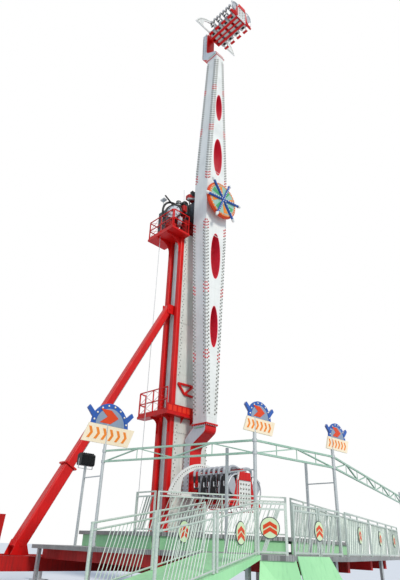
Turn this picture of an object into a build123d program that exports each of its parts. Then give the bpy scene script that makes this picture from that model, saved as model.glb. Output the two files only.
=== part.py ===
"""Rotating arm fairground ride: a fixed tower, a long box arm that turns about a
horizontal axis at the tower head, and a free-swinging eight-seat gondola at each
arm end. Millimetres, +Z up, origin on the ground under the hub axis, -Y is the
arm's front face."""
import math
import os

from build123d import *

# Clearances
RUN_GAP = 0.3

# Arm girder, and the hub height that keeps the lower gondola clear of the decks
ARM_FRONT_Y = -1900
ARM_DEPTH_HUB = 1000
ARM_DEPTH_END = 880
ARM_HALF_LENGTH = 12180
ARM_HALF_WIDTH_HUB = 770
ARM_HALF_WIDTH_END = 320
ARM_STRAIGHT_HALF = 2200
LEG_REACH = 2720
GONDOLA_AXIS_Z = 3750
SWING_RADIUS = ARM_HALF_LENGTH + LEG_REACH
HUB_Z = GONDOLA_AXIS_Z + SWING_RADIUS

# Oval lightening holes through the arm
OVAL_INNER_OFFSET = ARM_HALF_LENGTH * 0.28
OVAL_OUTER_OFFSET = ARM_HALF_LENGTH * 0.612
OVAL_INNER = (710, 2780)
OVAL_OUTER = (540, 2220)
OVAL_LINER_WALL = 25

# Front disc on the arm
DISC_NECK_RADIUS = 300
DISC_NECK_LENGTH = 300
DISC_RADIUS = 1100
DISC_THICKNESS = 160
DISC_RIM = 60

# Bent legs that carry the gondolas behind the arm's back plane
FLANGE_THICKNESS = 70
FLANGE_LIP = 40
LEG_HALF_WIDTH = 335
LEG_FRONT_Y = -930
LEG_DEPTH = 440
LEG_NECK_LENGTH = 300
LEG_BEND_LENGTH = 580
LEG_BACK_BEND_START = 60
LEG_BACK_BEND_LENGTH = 480
LEG_SHOULDER_RADIUS = 260
LEG_KNEE_RADIUS = 420
LEG_FOOT_RADIUS = 250
LEG_CREASE_RADIUS = 50
LEG_BELOW_AXIS = 330
AXLE_RADIUS = 120
AXLE_LENGTH = 320

# Hub bearing between tower and arm
BEARING_RADIUS = 740
BEARING_LENGTH = 1000
BEARING_FRONT_Y = -550
SLEWING_RING_RADIUS = 700
SLEWING_RING_LENGTH = 100
MOTOR_RADIUS = 150
MOTOR_LENGTH = 520
GEARBOX_RADIUS = 185
GEARBOX_LENGTH = 260
MOTOR_ORBIT = 930
MOTOR_ANGLES = (120, 160, 200)
MOTOR_PLATE_THICKNESS = 60
MOTOR_PLATE_RIM = 40

# Tower column, side posts and head
COLUMN_X = (-950, 1150)
COLUMN_FRONT_Y = -450
COLUMN_DEPTH = 1300
COLUMN_TOP_DROP = 1750
COLUMN_TOP_Z = HUB_Z - COLUMN_TOP_DROP
COLUMN_EDGE = 40
SPLICE_DROPS = (12550, 7150)
SPLICE_LIP = 12
SPLICE_THICKNESS = 60
POST_SIZE = 250
POST_CORNER = 60
POST_FRONT_Y = -450
POST_BACK_Y = 350
TRAY_WIDTH = 260
TRAY_DEPTH = 110
TRAY_WALL = 8
BASE_TOP_Z = 1100
HEAD_POST = 160
HEAD_INSET = 100
HEAD_SIDE_INSET = 150
HEAD_RAIL_DROP = 900
HEAD_LOW_RAIL_RISE = 300
SADDLE_THICKNESS = 50
SADDLE_HALF_WIDTH = 760
SADDLE_Y = (-60, 120)

# Walkways on the tower
TOP_PLATFORM_Z = COLUMN_TOP_Z - 400
TOP_PLATFORM_X = (-2170, -950)
TOP_PLATFORM_Y = (-830, 1290)
LOW_PLATFORM_Z = HUB_Z - 11850
LOW_PLATFORM_X = (-1680, 1250)
LOW_PLATFORM_Y = (-740, 1450)
PLATFORM_THICKNESS = 120
RAIL_HEIGHT = 1100
RAIL_TUBE = 45
RAIL_INSET = 30
RAIL_CORNER = 50
HAUNCH_THICKNESS = 30
HAUNCH_TOE = 60
HAUNCH_EDGE = 90
TOP_HAUNCH_DROP = 900
TOP_HAUNCH_RADIUS = 620
LOW_HAUNCH_DROP = 700
LOW_HAUNCH_RADIUS = 250
FRONT_BRACKET_DROP = 260
FRONT_BRACKET_X = (-600, 0, 900)
PARAPET_HEIGHT = 330
PARAPET_THICKNESS = 12
PARAPET_RIB = 18
PARAPET_RIB_PITCH = 290
CABINET_X = (-2050, -1600)
CABINET_Y = (100, 650)
CABINET_HEIGHT = 1500
CABINET_CORNER = 35

# Small braced bracket on the column front
BRACKET_RISE = 1100
BRACKET_POINTS = [(-900, 480), (60, 510), (-480, 30), (90, 0)]
BRACKET_TUBE = 90

# Taut hoist cable beside the tower
CABLE_PLACE = (-2000, 400)
CABLE_RADIUS = 14
CABLE_FOOT = 150

# Strut from the side posts down to the chassis tail
STRUT_TOP = (-1400, 75, HUB_Z - 6450)
STRUT_FOOT = (-7180, 75, 1420)
STRUT_UPPER_SIZE = 340
STRUT_LOWER_SIZE = 420
STRUT_CORNER = 50
STRUT_COLLAR_SHARE = 0.75
STRUT_COLLAR_SIZE = 540
STRUT_COLLAR_THICKNESS = 30
STRUT_END_MARGIN = 150
STRUT_EAR_THICKNESS = 40
STRUT_PIN_RADIUS = 60
STRUT_PIN_END = 25
STRUT_HEAD_HALF = 250
STRUT_HEAD_NOSE = 150
STRUT_EAR_FOOT = 330
STRUT_EAR_TOP = 150
CONDUIT_RADIUS = 38
CONDUIT_SHARES = (0.06, 0.70)

# Trailer chassis and feet
CHASSIS_X = (-9200, 4200)
CHASSIS_HALF_Y = 1200
BEAM_WIDTH = 260
BEAM_DEPTH = 420
CROSS_MEMBERS = (-9050, -7180, -5200, -3600, 3000, 4050)
CROSS_WIDTH = 260
OUTRIGGER_X = (-3600, 3000)
OUTRIGGER_REACH = 5200
OUTRIGGER_WIDTH = 300
OUTRIGGER_DEPTH = 300
OUTRIGGER_FOOT_Y = 4900
TAIL_FEET_X = (-9050, 4050)
FOOT_SIZE = 600
FOOT_THICKNESS = 60
JACK_SIZE = 160
CENTRE_FOOT_SIZE = 300
TAIL_POST_X = (-7950, -7480)
TAIL_POST_TOP_Z = 2350
TAIL_POST_FLARE = 60

# Decks
DECK_Z = 1450
UPPER_DECK_Z = 1900
DECK_THICKNESS = 110
LOWER_DECK = [(-7450, -1450), (-7550, -4750), (-6250, -9600), (-5550, -10200),
              (-2800, -9900), (9000, -6000), (9000, -1450)]
UPPER_DECK = [(-5900, -1600), (-5900, -5600), (-2500, -7900), (5900, -5000), (5900, -1600)]
DECK_LEGS = [(-7300, -1700), (-7300, -4600), (-6100, -9300), (-2800, -9500), (3000, -7700),
             (8700, -5800), (8700, -1700)]
UPPER_DECK_LEGS = [(-5700, -1800), (-5700, -5400), (-2500, -7600), (5700, -4900), (5700, -1800)]
DECK_LEG_SIZE = 100
DECK_PAD_SIZE = 260
DECK_PAD_THICKNESS = 20
JOIST_X = (-6850, -4900, -1900, 1200, 3700)
JOIST_WIDTH = 120
JOIST_LAP = 50
JOIST_END_MARGIN = 250
FASCIA_THICKNESS = 30
FASCIA_MARGIN = 60

# Entry ramp from the deck's left front corner
RAMP_START = (-6405, -9046)
RAMP_END = (-10300, -10130)
RAMP_WIDTH = 1500
RAMP_END_Z = 800
RAMP_THICKNESS = 90
RAMP_STEPS = 4
RAMP_TREAD = 290

# Leaning skirt panels under the front fence
SKIRT_THICKNESS = 25
SKIRT_LEAN = 420
SKIRT_FOOT_Z = 60
SKIRT_SPAN = (0.06, 0.98)

# Fences
FENCE_HEIGHT = 1100
FENCE_THICKNESS = 40
FENCE_BAR = 26
FENCE_PITCH = 260
FENCE_SLANT = 22
FENCE_POST_WIDTH = 60
FENCE_RAIL = 40
FENCE_RAIL_SPACING = 140
FENCE_FOOT_RAIL_Z = 60
FENCE_END_BARS = 350

# Masts and trusses
MASTS = [(-7330, -4750), (-6030, -9500), (-2800, -9700), (8850, -5950)]
MAST_SIZE = 90
TRUSS_Z = 4000
MAST_RISE = 200
TRUSS_DEPTH = 300
TRUSS_CHORD = 50
TRUSS_LACING = 28
TRUSS_BAY = 1400
PROP_OFFSET = 950
PROP_SIZE = 60
PROP_TOPS = (3650, 3900, 3900)
PROP_TIE_Z = 3300
SIGN_SIZE = (1500, 900)
SIGN_THICKNESS = 40
FLOODLIGHT_SIZE = (480, 260, 340)

# Gondolas
SEAT_COUNT = 4
SEAT_PITCH = 570
SEAT_WIDTH = 490
SEAT_BACK_X = 120
SEAT_SHELL = 70
SEAT_PAN_DROP = 500
SEAT_HEIGHT = 560
SEAT_DEPTH = 560
SEAT_RAKE = 60
SEAT_CREASE_RISE = 10
SEAT_NECK_DROP = 120
SEAT_NECK_LIP = 30
SEAT_LIP_RISE = 70
SEAT_LIP_BACK = 60
SEAT_CROWN_WIDTH = 60
SEAT_CROWN_DEPTH = 200
PAD_WIDTH = 400
PAD_THICKNESS = 60
PAD_RISE = 90
PAD_DROP = 130
GONDOLA_HUB_RADIUS = 260
GONDOLA_HUB_LENGTH = 400
GONDOLA_BACK_Y = LEG_FRONT_Y - GONDOLA_HUB_LENGTH
GONDOLA_FRONT_Y = -3850
ROW_START_Y = -1475
GONDOLA_BEAM_X = 330
GONDOLA_BEAM_WIDTH = 160
GONDOLA_BEAM_DEPTH = 140
GONDOLA_FLOOR_DROP = 760
GONDOLA_END_THICKNESS = 60
SPINE_HALF_WIDTH = 50
SPINE_CAP_HALF_WIDTH = 140
CARRIER_WIDTH = 70
ARCH_RADIUS = 2050
ARCH_BAND = 240
ARCH_CENTRE_DROP = 1050
ARCH_BASE_DROP = 380
ARCH_BASE_HEIGHT = 130
ARCH_OPENING_RADIUS = 1250
ARCH_OPENING_DROP = 150
ARCH_THICKNESS = 60
PANEL_HALF_WIDTH = 420
PANEL_LOW = 780
PANEL_HIGH = 200
PANEL_THICKNESS = 60
HEAD_BOX_HIGH = 520
HEAD_BOX_HALF_WIDTH = 330
END_WING_HALF_WIDTH = 1000
END_WING_TIP = 120
END_WING_RISE = 380
RESTRAINT_TUBE = 50
RESTRAINT_PIVOT_X = 100
RESTRAINT_PIVOT_RISE = 660
RESTRAINT_ROD = 30
RESTRAINT_HALF_SPREAD = 140
RESTRAINT_REACH = 560
RESTRAINT_DROP = 720
RESTRAINT_BEND = 180
RESTRAINT_CORNER = 100

os.makedirs("parts", exist_ok=True)
pieces = []


def keep(builder, label):
    """Label a finished piece and write its STEP file."""
    builder.part.label = label
    export_step(builder.part, f"parts/{label}.step")
    pieces.append(builder.part)


def bar_plane(start, end):
    """Plane at the start of a bar, its normal along the bar and its x level."""
    along = Vector(*end) - Vector(*start)
    side = Vector(0, 0, 1).cross(along)
    if side.length < 1e-6 * along.length:
        side = Vector(1, 0, 0)
    return Plane(origin=start, x_dir=side, z_dir=along)


def add_bar(start, end, width, height, corner=0):
    """Add a rectangular bar between two points to the part in hand."""
    length = (Vector(*end) - Vector(*start)).length
    with BuildSketch(bar_plane(start, end)) as section:
        if corner:
            RectangleRounded(width, height, corner)
        else:
            Rectangle(width, height)
    extrude(section.sketch, amount=length)


def add_rod(start, end, radius, mode=Mode.ADD):
    """Add a round bar between two points to the part in hand, or cut it away."""
    length = (Vector(*end) - Vector(*start)).length
    with BuildSketch(bar_plane(start, end)) as section:
        Circle(radius)
    extrude(section.sketch, amount=length, mode=mode)


def add_box(x_range, y_range, z_range, mode=Mode.ADD):
    """Add a box by its limits to the part in hand."""
    centre = ((x_range[0] + x_range[1]) / 2, (y_range[0] + y_range[1]) / 2,
              (z_range[0] + z_range[1]) / 2)
    with Locations(centre):
        Box(abs(x_range[1] - x_range[0]), abs(y_range[1] - y_range[0]),
            abs(z_range[1] - z_range[0]), mode=mode)


def add_front_plate(outline, y_range, mode=Mode.ADD):
    """Add an upright plate with its outline in X and Z between two Y planes."""
    with BuildSketch(Plane.XZ.offset(-y_range[0])) as face:
        Polygon(*outline, align=None)
    extrude(face.sketch, amount=y_range[0] - y_range[1], mode=mode)


def make_arm():
    """White box girder, wide at the hub, with four oval holes."""
    corners = [(ARM_HALF_WIDTH_END, -ARM_HALF_LENGTH), (ARM_HALF_WIDTH_HUB, -ARM_STRAIGHT_HALF),
               (ARM_HALF_WIDTH_HUB, ARM_STRAIGHT_HALF), (ARM_HALF_WIDTH_END, ARM_HALF_LENGTH)]
    outline = corners + [(-x, z) for x, z in reversed(corners)]
    side = [(ARM_FRONT_Y + ARM_DEPTH_END, -ARM_HALF_LENGTH),
            (ARM_FRONT_Y + ARM_DEPTH_HUB, -ARM_STRAIGHT_HALF),
            (ARM_FRONT_Y + ARM_DEPTH_HUB, ARM_STRAIGHT_HALF),
            (ARM_FRONT_Y + ARM_DEPTH_END, ARM_HALF_LENGTH),
            (ARM_FRONT_Y, ARM_HALF_LENGTH), (ARM_FRONT_Y, -ARM_HALF_LENGTH)]
    with BuildPart() as arm:
        with BuildSketch(Plane.XZ.offset(-ARM_FRONT_Y)):
            with Locations((0, HUB_Z)):
                Polygon(*outline, align=None)
        extrude(amount=-ARM_DEPTH_HUB)
        with BuildSketch(Plane.YZ):
            with Locations((0, HUB_Z)):
                Polygon(*side, align=None)
        extrude(amount=ARM_HALF_WIDTH_HUB, both=True, mode=Mode.INTERSECT)
        with BuildSketch(Plane.XZ.offset(-ARM_FRONT_Y)):
            oval_sketch(0)
        extrude(amount=-ARM_DEPTH_HUB, mode=Mode.SUBTRACT)
    keep(arm, "arm_box")


def oval_sketch(shrink):
    """The four ovals of the arm, each made smaller all round by shrink."""
    for offset, size in ((OVAL_INNER_OFFSET, OVAL_INNER), (OVAL_OUTER_OFFSET, OVAL_OUTER)):
        with Locations((0, HUB_Z + offset), (0, HUB_Z - offset)):
            Ellipse(size[0] / 2 - shrink, size[1] / 2 - shrink)


def make_liners():
    """Red oval liners through the arm."""
    with BuildPart() as liners:
        with BuildSketch(Plane.XZ.offset(-ARM_FRONT_Y)):
            oval_sketch(RUN_GAP)
        extrude(amount=-ARM_DEPTH_END)
        with BuildSketch(Plane.XZ.offset(-ARM_FRONT_Y)):
            oval_sketch(OVAL_LINER_WALL)
        extrude(amount=-ARM_DEPTH_END, mode=Mode.SUBTRACT)
    keep(liners, "oval_liners")


def make_leg(name, sign):
    """Bent box leg with its bolting flange and the axle that carries a gondola."""
    def level(distance):
        return HUB_Z + sign * distance

    top = ARM_HALF_LENGTH + FLANGE_THICKNESS
    shoulder = top + LEG_NECK_LENGTH
    knee = shoulder + LEG_BEND_LENGTH
    foot = SWING_RADIUS + LEG_BELOW_AXIS
    front, back = ARM_FRONT_Y + FLANGE_LIP, ARM_FRONT_Y + ARM_DEPTH_END - FLANGE_LIP
    leg_back = LEG_FRONT_Y + LEG_DEPTH
    back_start = top + LEG_BACK_BEND_START
    with BuildPart() as leg:
        with BuildSketch(Plane.YZ.offset(-LEG_HALF_WIDTH)):
            with BuildLine():
                FilletPolyline((front, level(top)), (front, level(shoulder)), (LEG_FRONT_Y, level(knee)),
                               (LEG_FRONT_Y, level(foot)), radius=(LEG_SHOULDER_RADIUS, LEG_KNEE_RADIUS))
                Line((LEG_FRONT_Y, level(foot)), (leg_back, level(foot)))
                FilletPolyline((leg_back, level(foot)), (leg_back, level(back_start + LEG_BACK_BEND_LENGTH)),
                               (back, level(back_start)), (back, level(top)),
                               radius=(LEG_KNEE_RADIUS, LEG_CREASE_RADIUS))
                Line((back, level(top)), (front, level(top)))
            make_face()
        extrude(amount=2 * LEG_HALF_WIDTH)
        foot_edges = leg.edges().filter_by(Axis.Y).group_by(Axis.Z)
        fillet(foot_edges[0] if sign < 0 else foot_edges[-1], radius=LEG_FOOT_RADIUS)
        flange_z = sorted((level(ARM_HALF_LENGTH), level(top)))
        add_box((-LEG_HALF_WIDTH - FLANGE_LIP, LEG_HALF_WIDTH + FLANGE_LIP),
                (ARM_FRONT_Y - FLANGE_LIP, ARM_FRONT_Y + ARM_DEPTH_END + FLANGE_LIP), flange_z)
        axle_z = level(SWING_RADIUS)
        add_rod((0, LEG_FRONT_Y, axle_z), (0, LEG_FRONT_Y - AXLE_LENGTH, axle_z), AXLE_RADIUS)
    keep(leg, name)


def add_drum(y_start, length, radius, centre=(0, HUB_Z)):
    """Add a drum with its axis along Y, from y_start towards the back."""
    with BuildSketch(Plane.XZ.offset(-y_start)) as face:
        with Locations(centre):
            Circle(radius)
    extrude(face.sketch, amount=-length)


def make_hub():
    """Bearing housing on the tower, the turning flange on the arm and the front disc."""
    with BuildPart() as ring:
        add_drum(BEARING_FRONT_Y, BEARING_LENGTH, BEARING_RADIUS)
        add_drum(BEARING_FRONT_Y - SLEWING_RING_LENGTH, SLEWING_RING_LENGTH, SLEWING_RING_RADIUS)
    keep(ring, "hub_bearing_housing")
    arm_back = ARM_FRONT_Y + ARM_DEPTH_HUB
    ring_front = BEARING_FRONT_Y - SLEWING_RING_LENGTH
    with BuildPart() as flange:
        add_drum(arm_back, ring_front - RUN_GAP - arm_back, SLEWING_RING_RADIUS)
    keep(flange, "arm_turning_flange")
    with BuildPart() as disc:
        disc_back = ARM_FRONT_Y - DISC_NECK_LENGTH
        add_drum(disc_back, DISC_NECK_LENGTH, DISC_NECK_RADIUS)
        add_drum(disc_back - DISC_THICKNESS, DISC_THICKNESS, DISC_RADIUS)
        rim = disc.edges().filter_by(GeomType.CIRCLE).sort_by(Axis.Y)[0]
        chamfer(rim, length=DISC_RIM)
    keep(disc, "hub_front_disc")


def motor_places():
    """X and Z of each drive motor round the hub."""
    return [(MOTOR_ORBIT * math.cos(math.radians(angle)),
             HUB_Z + MOTOR_ORBIT * math.sin(math.radians(angle))) for angle in MOTOR_ANGLES]


def make_drive():
    """Back plate on the bearing housing with three drive motors."""
    back = BEARING_FRONT_Y + BEARING_LENGTH
    with BuildPart() as drive:
        add_drum(back, MOTOR_PLATE_THICKNESS, BEARING_RADIUS)
        for x, z in motor_places():
            add_drum(back, MOTOR_PLATE_THICKNESS, GEARBOX_RADIUS + MOTOR_PLATE_RIM, (x, z))
            add_drum(back - GEARBOX_LENGTH, GEARBOX_LENGTH, GEARBOX_RADIUS, (x, z))
            add_drum(back + MOTOR_PLATE_THICKNESS, MOTOR_LENGTH, MOTOR_RADIUS, (x, z))
    keep(drive, "drive_motors")


def make_column():
    """White box column with splice frames, and two red side posts with a cable tray."""
    back = COLUMN_FRONT_Y + COLUMN_DEPTH
    centre = ((COLUMN_X[0] + COLUMN_X[1]) / 2, (COLUMN_FRONT_Y + back) / 2)
    width = COLUMN_X[1] - COLUMN_X[0]
    with BuildPart() as column:
        with BuildSketch(Plane.XY.offset(BASE_TOP_Z)):
            with Locations(centre):
                RectangleRounded(width, COLUMN_DEPTH, COLUMN_EDGE)
        extrude(amount=COLUMN_TOP_Z - BASE_TOP_Z)
        for drop in SPLICE_DROPS:
            height = HUB_Z - drop
            add_box((COLUMN_X[0], COLUMN_X[1] + SPLICE_LIP), (COLUMN_FRONT_Y - SPLICE_LIP, back + SPLICE_LIP),
                    (height, height + SPLICE_THICKNESS))
    keep(column, "tower_column")
    post_x = COLUMN_X[0] - RUN_GAP - POST_SIZE / 2
    with BuildPart() as posts:
        with BuildSketch(Plane.XY.offset(BASE_TOP_Z)):
            with Locations((post_x, POST_FRONT_Y + POST_SIZE / 2), (post_x, POST_BACK_Y + POST_SIZE / 2)):
                RectangleRounded(POST_SIZE, POST_SIZE, POST_CORNER)
        extrude(amount=TOP_PLATFORM_Z - BASE_TOP_Z)
    keep(posts, "side_posts")
    tray_y = (POST_FRONT_Y + POST_SIZE + POST_BACK_Y) / 2
    tray_x = COLUMN_X[0] - RUN_GAP
    with BuildPart() as tray:
        with BuildSketch(Plane.XY.offset(BASE_TOP_Z)):
            with Locations((tray_x - TRAY_DEPTH / 2, tray_y)):
                Rectangle(TRAY_DEPTH, TRAY_WIDTH)
            with Locations((tray_x - TRAY_DEPTH / 2 - TRAY_WALL, tray_y)):
                Rectangle(TRAY_DEPTH, TRAY_WIDTH - 2 * TRAY_WALL, mode=Mode.SUBTRACT)
        extrude(amount=TOP_PLATFORM_Z - BASE_TOP_Z)
    keep(tray, "cable_tray")


def make_head():
    """Red frame on the column top with two saddle plates that hold the bearing housing."""
    back = COLUMN_FRONT_Y + COLUMN_DEPTH
    sides = (COLUMN_X[0] + HEAD_INSET, COLUMN_X[1] - HEAD_INSET)
    faces = (COLUMN_FRONT_Y + HEAD_SIDE_INSET, back - HEAD_SIDE_INSET)
    top = HUB_Z - HEAD_RAIL_DROP + HEAD_POST / 2
    cradle = BEARING_RADIUS + RUN_GAP
    with BuildPart() as head:
        for x in sides:
            for y in faces:
                add_bar((x, y, COLUMN_TOP_Z), (x, y, top), HEAD_POST, HEAD_POST)
        for z in (HUB_Z - HEAD_RAIL_DROP, COLUMN_TOP_Z + HEAD_LOW_RAIL_RISE):
            for x in sides:
                add_bar((x, faces[0], z), (x, faces[1], z), HEAD_POST, HEAD_POST)
            for y in faces:
                add_bar((sides[0], y, z), (sides[1], y, z), HEAD_POST, HEAD_POST)
        for y in SADDLE_Y:
            add_box((-SADDLE_HALF_WIDTH - HEAD_POST / 2, SADDLE_HALF_WIDTH + HEAD_POST),
                    (y, y + SADDLE_THICKNESS), (COLUMN_TOP_Z, HUB_Z))
        with BuildSketch(Plane.XZ.offset(-SADDLE_Y[0])):
            with Locations((0, HUB_Z)):
                Circle(cradle)
        extrude(amount=-(SADDLE_Y[1] + SADDLE_THICKNESS - SADDLE_Y[0]), mode=Mode.SUBTRACT)
        add_box((sides[0] - HEAD_POST / 2, sides[1] + HEAD_POST / 2),
                (faces[0] - HEAD_POST / 2, faces[1] + HEAD_POST / 2),
                (COLUMN_TOP_Z, COLUMN_TOP_Z + SADDLE_THICKNESS))
    keep(head, "head_frame")


def add_rail(points, z):
    """Guard rail with posts, top rail and knee rail along a run of points."""
    top = z + RAIL_HEIGHT
    for start, end in zip(points, points[1:]):
        for height in (top, z + RAIL_HEIGHT / 2):
            add_bar((*start, height), (*end, height), RAIL_TUBE, RAIL_TUBE)
    for point in points:
        add_bar((*point, z), (*point, top), RAIL_TUBE, RAIL_TUBE)


def add_haunch(y, z, drop, reach_x, radius):
    """Bracket plate under a walkway with a curved lower edge and a stiffening flange."""
    wall = COLUMN_X[0] - RUN_GAP - POST_SIZE
    tip = reach_x + FLANGE_LIP
    with BuildSketch(Plane.XZ.offset(-(y - HAUNCH_THICKNESS / 2))) as face:
        with BuildLine():
            FilletPolyline((wall - HAUNCH_TOE, z - drop), (wall - HAUNCH_TOE, z - HAUNCH_EDGE),
                           (tip, z - HAUNCH_EDGE), radius=radius)
            Polyline((tip, z - HAUNCH_EDGE), (tip, z), (wall, z), (wall, z - drop),
                     (wall - HAUNCH_TOE, z - drop))
        make_face()
    extrude(face.sketch, amount=-HAUNCH_THICKNESS)


def make_walkways():
    """Top and lower walkways with brackets, guard rails and the ribbed parapet."""
    column_side = COLUMN_X[0] - RUN_GAP
    wall = column_side - POST_SIZE
    with BuildPart() as plates:
        add_box((TOP_PLATFORM_X[0], TOP_PLATFORM_X[1] - RUN_GAP), TOP_PLATFORM_Y,
                (TOP_PLATFORM_Z, TOP_PLATFORM_Z + PLATFORM_THICKNESS))
        level = (LOW_PLATFORM_Z, LOW_PLATFORM_Z + PLATFORM_THICKNESS)
        add_box((LOW_PLATFORM_X[0], wall - RUN_GAP), LOW_PLATFORM_Y, level)
        add_box((wall, LOW_PLATFORM_X[1]), (LOW_PLATFORM_Y[0], COLUMN_FRONT_Y - RUN_GAP), level)
    keep(plates, "walkway_plates")
    with BuildPart() as rails:
        for x_range, y_range, base in (
                (TOP_PLATFORM_X, TOP_PLATFORM_Y, TOP_PLATFORM_Z + PLATFORM_THICKNESS),
                ((LOW_PLATFORM_X[0], wall), LOW_PLATFORM_Y, LOW_PLATFORM_Z + PLATFORM_THICKNESS)):
            x0, x1 = x_range[0] + RAIL_INSET, x_range[1] - RAIL_INSET - RAIL_TUBE
            y0, y1 = y_range[0] + RAIL_INSET, y_range[1] - RAIL_INSET
            add_rail([(x0, y0 + RAIL_CORNER), (x0, (y0 + y1) / 2), (x0, y1 - RAIL_CORNER)], base)
            add_rail([(x0 + RAIL_CORNER, y1), (x1, y1)], base)
            if base > LOW_PLATFORM_Z + RAIL_HEIGHT:
                add_rail([(x0 + RAIL_CORNER, y0), (x1, y0)], base)
    keep(rails, "walkway_rails")
    with BuildPart() as brackets:
        for y in (POST_FRONT_Y + POST_SIZE / 2, POST_BACK_Y + POST_SIZE / 2):
            add_haunch(y, TOP_PLATFORM_Z, TOP_HAUNCH_DROP, TOP_PLATFORM_X[0], TOP_HAUNCH_RADIUS)
            add_haunch(y, LOW_PLATFORM_Z, LOW_HAUNCH_DROP, LOW_PLATFORM_X[0], LOW_HAUNCH_RADIUS)
        for x in FRONT_BRACKET_X:
            with BuildSketch(Plane.YZ.offset(x)):
                Polygon((COLUMN_FRONT_Y - RUN_GAP, LOW_PLATFORM_Z),
                        (COLUMN_FRONT_Y - RUN_GAP, LOW_PLATFORM_Z - FRONT_BRACKET_DROP),
                        (LOW_PLATFORM_Y[0] + FLANGE_LIP, LOW_PLATFORM_Z), align=None)
            extrude(amount=HAUNCH_THICKNESS)
        y = COLUMN_FRONT_Y - BRACKET_TUBE / 2 - RUN_GAP
        points = [(x, y, LOW_PLATFORM_Z + BRACKET_RISE + z) for x, z in BRACKET_POINTS]
        for start, end in ((0, 1), (0, 2), (1, 2), (2, 3)):
            add_bar(points[start], points[end], BRACKET_TUBE, BRACKET_TUBE)
    keep(brackets, "walkway_brackets")
    base = LOW_PLATFORM_Z + PLATFORM_THICKNESS
    with BuildPart() as parapet:
        y0 = LOW_PLATFORM_Y[0] + PARAPET_RIB
        add_box((LOW_PLATFORM_X[0], LOW_PLATFORM_X[1]), (y0, y0 + PARAPET_THICKNESS),
                (base, base + PARAPET_HEIGHT))
        count = int((LOW_PLATFORM_X[1] - LOW_PLATFORM_X[0]) / PARAPET_RIB_PITCH)
        for index in range(count + 1):
            run = LOW_PLATFORM_X[1] - LOW_PLATFORM_X[0] - 2 * PARAPET_RIB
            x = LOW_PLATFORM_X[0] + index * run / count
            add_box((x, x + 2 * PARAPET_RIB), (y0 - PARAPET_RIB, y0), (base, base + PARAPET_HEIGHT))
        add_box((LOW_PLATFORM_X[0], LOW_PLATFORM_X[1]), (y0 - PARAPET_RIB, y0 + 2 * PARAPET_THICKNESS),
                (base + PARAPET_HEIGHT, base + PARAPET_HEIGHT + PARAPET_THICKNESS * 2))
    keep(parapet, "lower_platform_parapet")


def make_walkway_fittings():
    """Control cabinet on the top walkway and the taut hoist cable."""
    floor = TOP_PLATFORM_Z + PLATFORM_THICKNESS
    with BuildPart() as cabinet:
        add_box(CABINET_X, CABINET_Y, (floor, floor + CABINET_HEIGHT))
        fillet(cabinet.edges().filter_by(Axis.Z), radius=CABINET_CORNER)
    keep(cabinet, "head_cabinet")
    x, y = CABLE_PLACE
    with BuildPart() as cable:
        add_rod((x, y, CABLE_FOOT), (x, y, TOP_PLATFORM_Z), CABLE_RADIUS)
    keep(cable, "hoist_cable")


def strut_point(share):
    """Point on the strut's axis, 0 at its top pin and 1 at its foot pin."""
    return tuple(top + share * (foot - top) for top, foot in zip(STRUT_TOP, STRUT_FOOT))


def make_strut():
    """Long red stay beam in two widths, with bolted collar, pinned ends and a side tube."""
    span = math.dist(STRUT_TOP, STRUT_FOOT)
    end = STRUT_END_MARGIN / span
    plate = STRUT_COLLAR_THICKNESS / span
    for name, first, last, size, pin, collar in (
            ("strut_upper", -end, STRUT_COLLAR_SHARE, STRUT_UPPER_SIZE, STRUT_TOP, -plate),
            ("strut_lower", STRUT_COLLAR_SHARE, 1 + end, STRUT_LOWER_SIZE, STRUT_FOOT, plate)):
        with BuildPart() as beam:
            add_bar(strut_point(first), strut_point(last), size, size, STRUT_CORNER)
            shares = sorted((STRUT_COLLAR_SHARE, STRUT_COLLAR_SHARE + collar))
            add_bar(strut_point(shares[0]), strut_point(shares[1]), STRUT_COLLAR_SIZE, STRUT_COLLAR_SIZE)
            add_rod((pin[0], pin[1] - size, pin[2]), (pin[0], pin[1] + size, pin[2]),
                    STRUT_PIN_RADIUS + RUN_GAP, Mode.SUBTRACT)
        keep(beam, name)
    with BuildPart() as brackets:
        for pin, size in ((STRUT_TOP, STRUT_UPPER_SIZE), (STRUT_FOOT, STRUT_LOWER_SIZE)):
            inner = size / 2 + RUN_GAP
            outer = inner + STRUT_EAR_THICKNESS
            for side in (-1, 1):
                ears = sorted((pin[1] + side * inner, pin[1] + side * outer))
                if pin is STRUT_TOP:
                    add_box((pin[0] - STRUT_HEAD_NOSE, COLUMN_X[0] - RUN_GAP), ears,
                            (pin[2] - STRUT_HEAD_HALF, pin[2] + STRUT_HEAD_HALF))
                else:
                    low, high = BASE_TOP_Z, pin[2] + STRUT_EAR_TOP
                    add_front_plate([(pin[0] - STRUT_EAR_FOOT, low), (pin[0] + STRUT_EAR_FOOT, low),
                                     (pin[0] + STRUT_EAR_TOP, high), (pin[0] - STRUT_EAR_TOP, high)], ears)
            add_rod((pin[0], pin[1] - outer - STRUT_PIN_END, pin[2]),
                    (pin[0], pin[1] + outer + STRUT_PIN_END, pin[2]), STRUT_PIN_RADIUS)
    keep(brackets, "strut_brackets")
    offset = STRUT_UPPER_SIZE / 2 + CONDUIT_RADIUS + RUN_GAP
    with BuildPart() as conduit:
        start, finish = (strut_point(share) for share in CONDUIT_SHARES)
        side = bar_plane(start, finish).y_dir * offset
        ends = [Vector(*point) + (side if side.Z < 0 else side * -1) for point in (start, finish)]
        add_rod(tuple(ends[0]), tuple(ends[1]), CONDUIT_RADIUS)
    keep(conduit, "strut_conduit")


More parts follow.
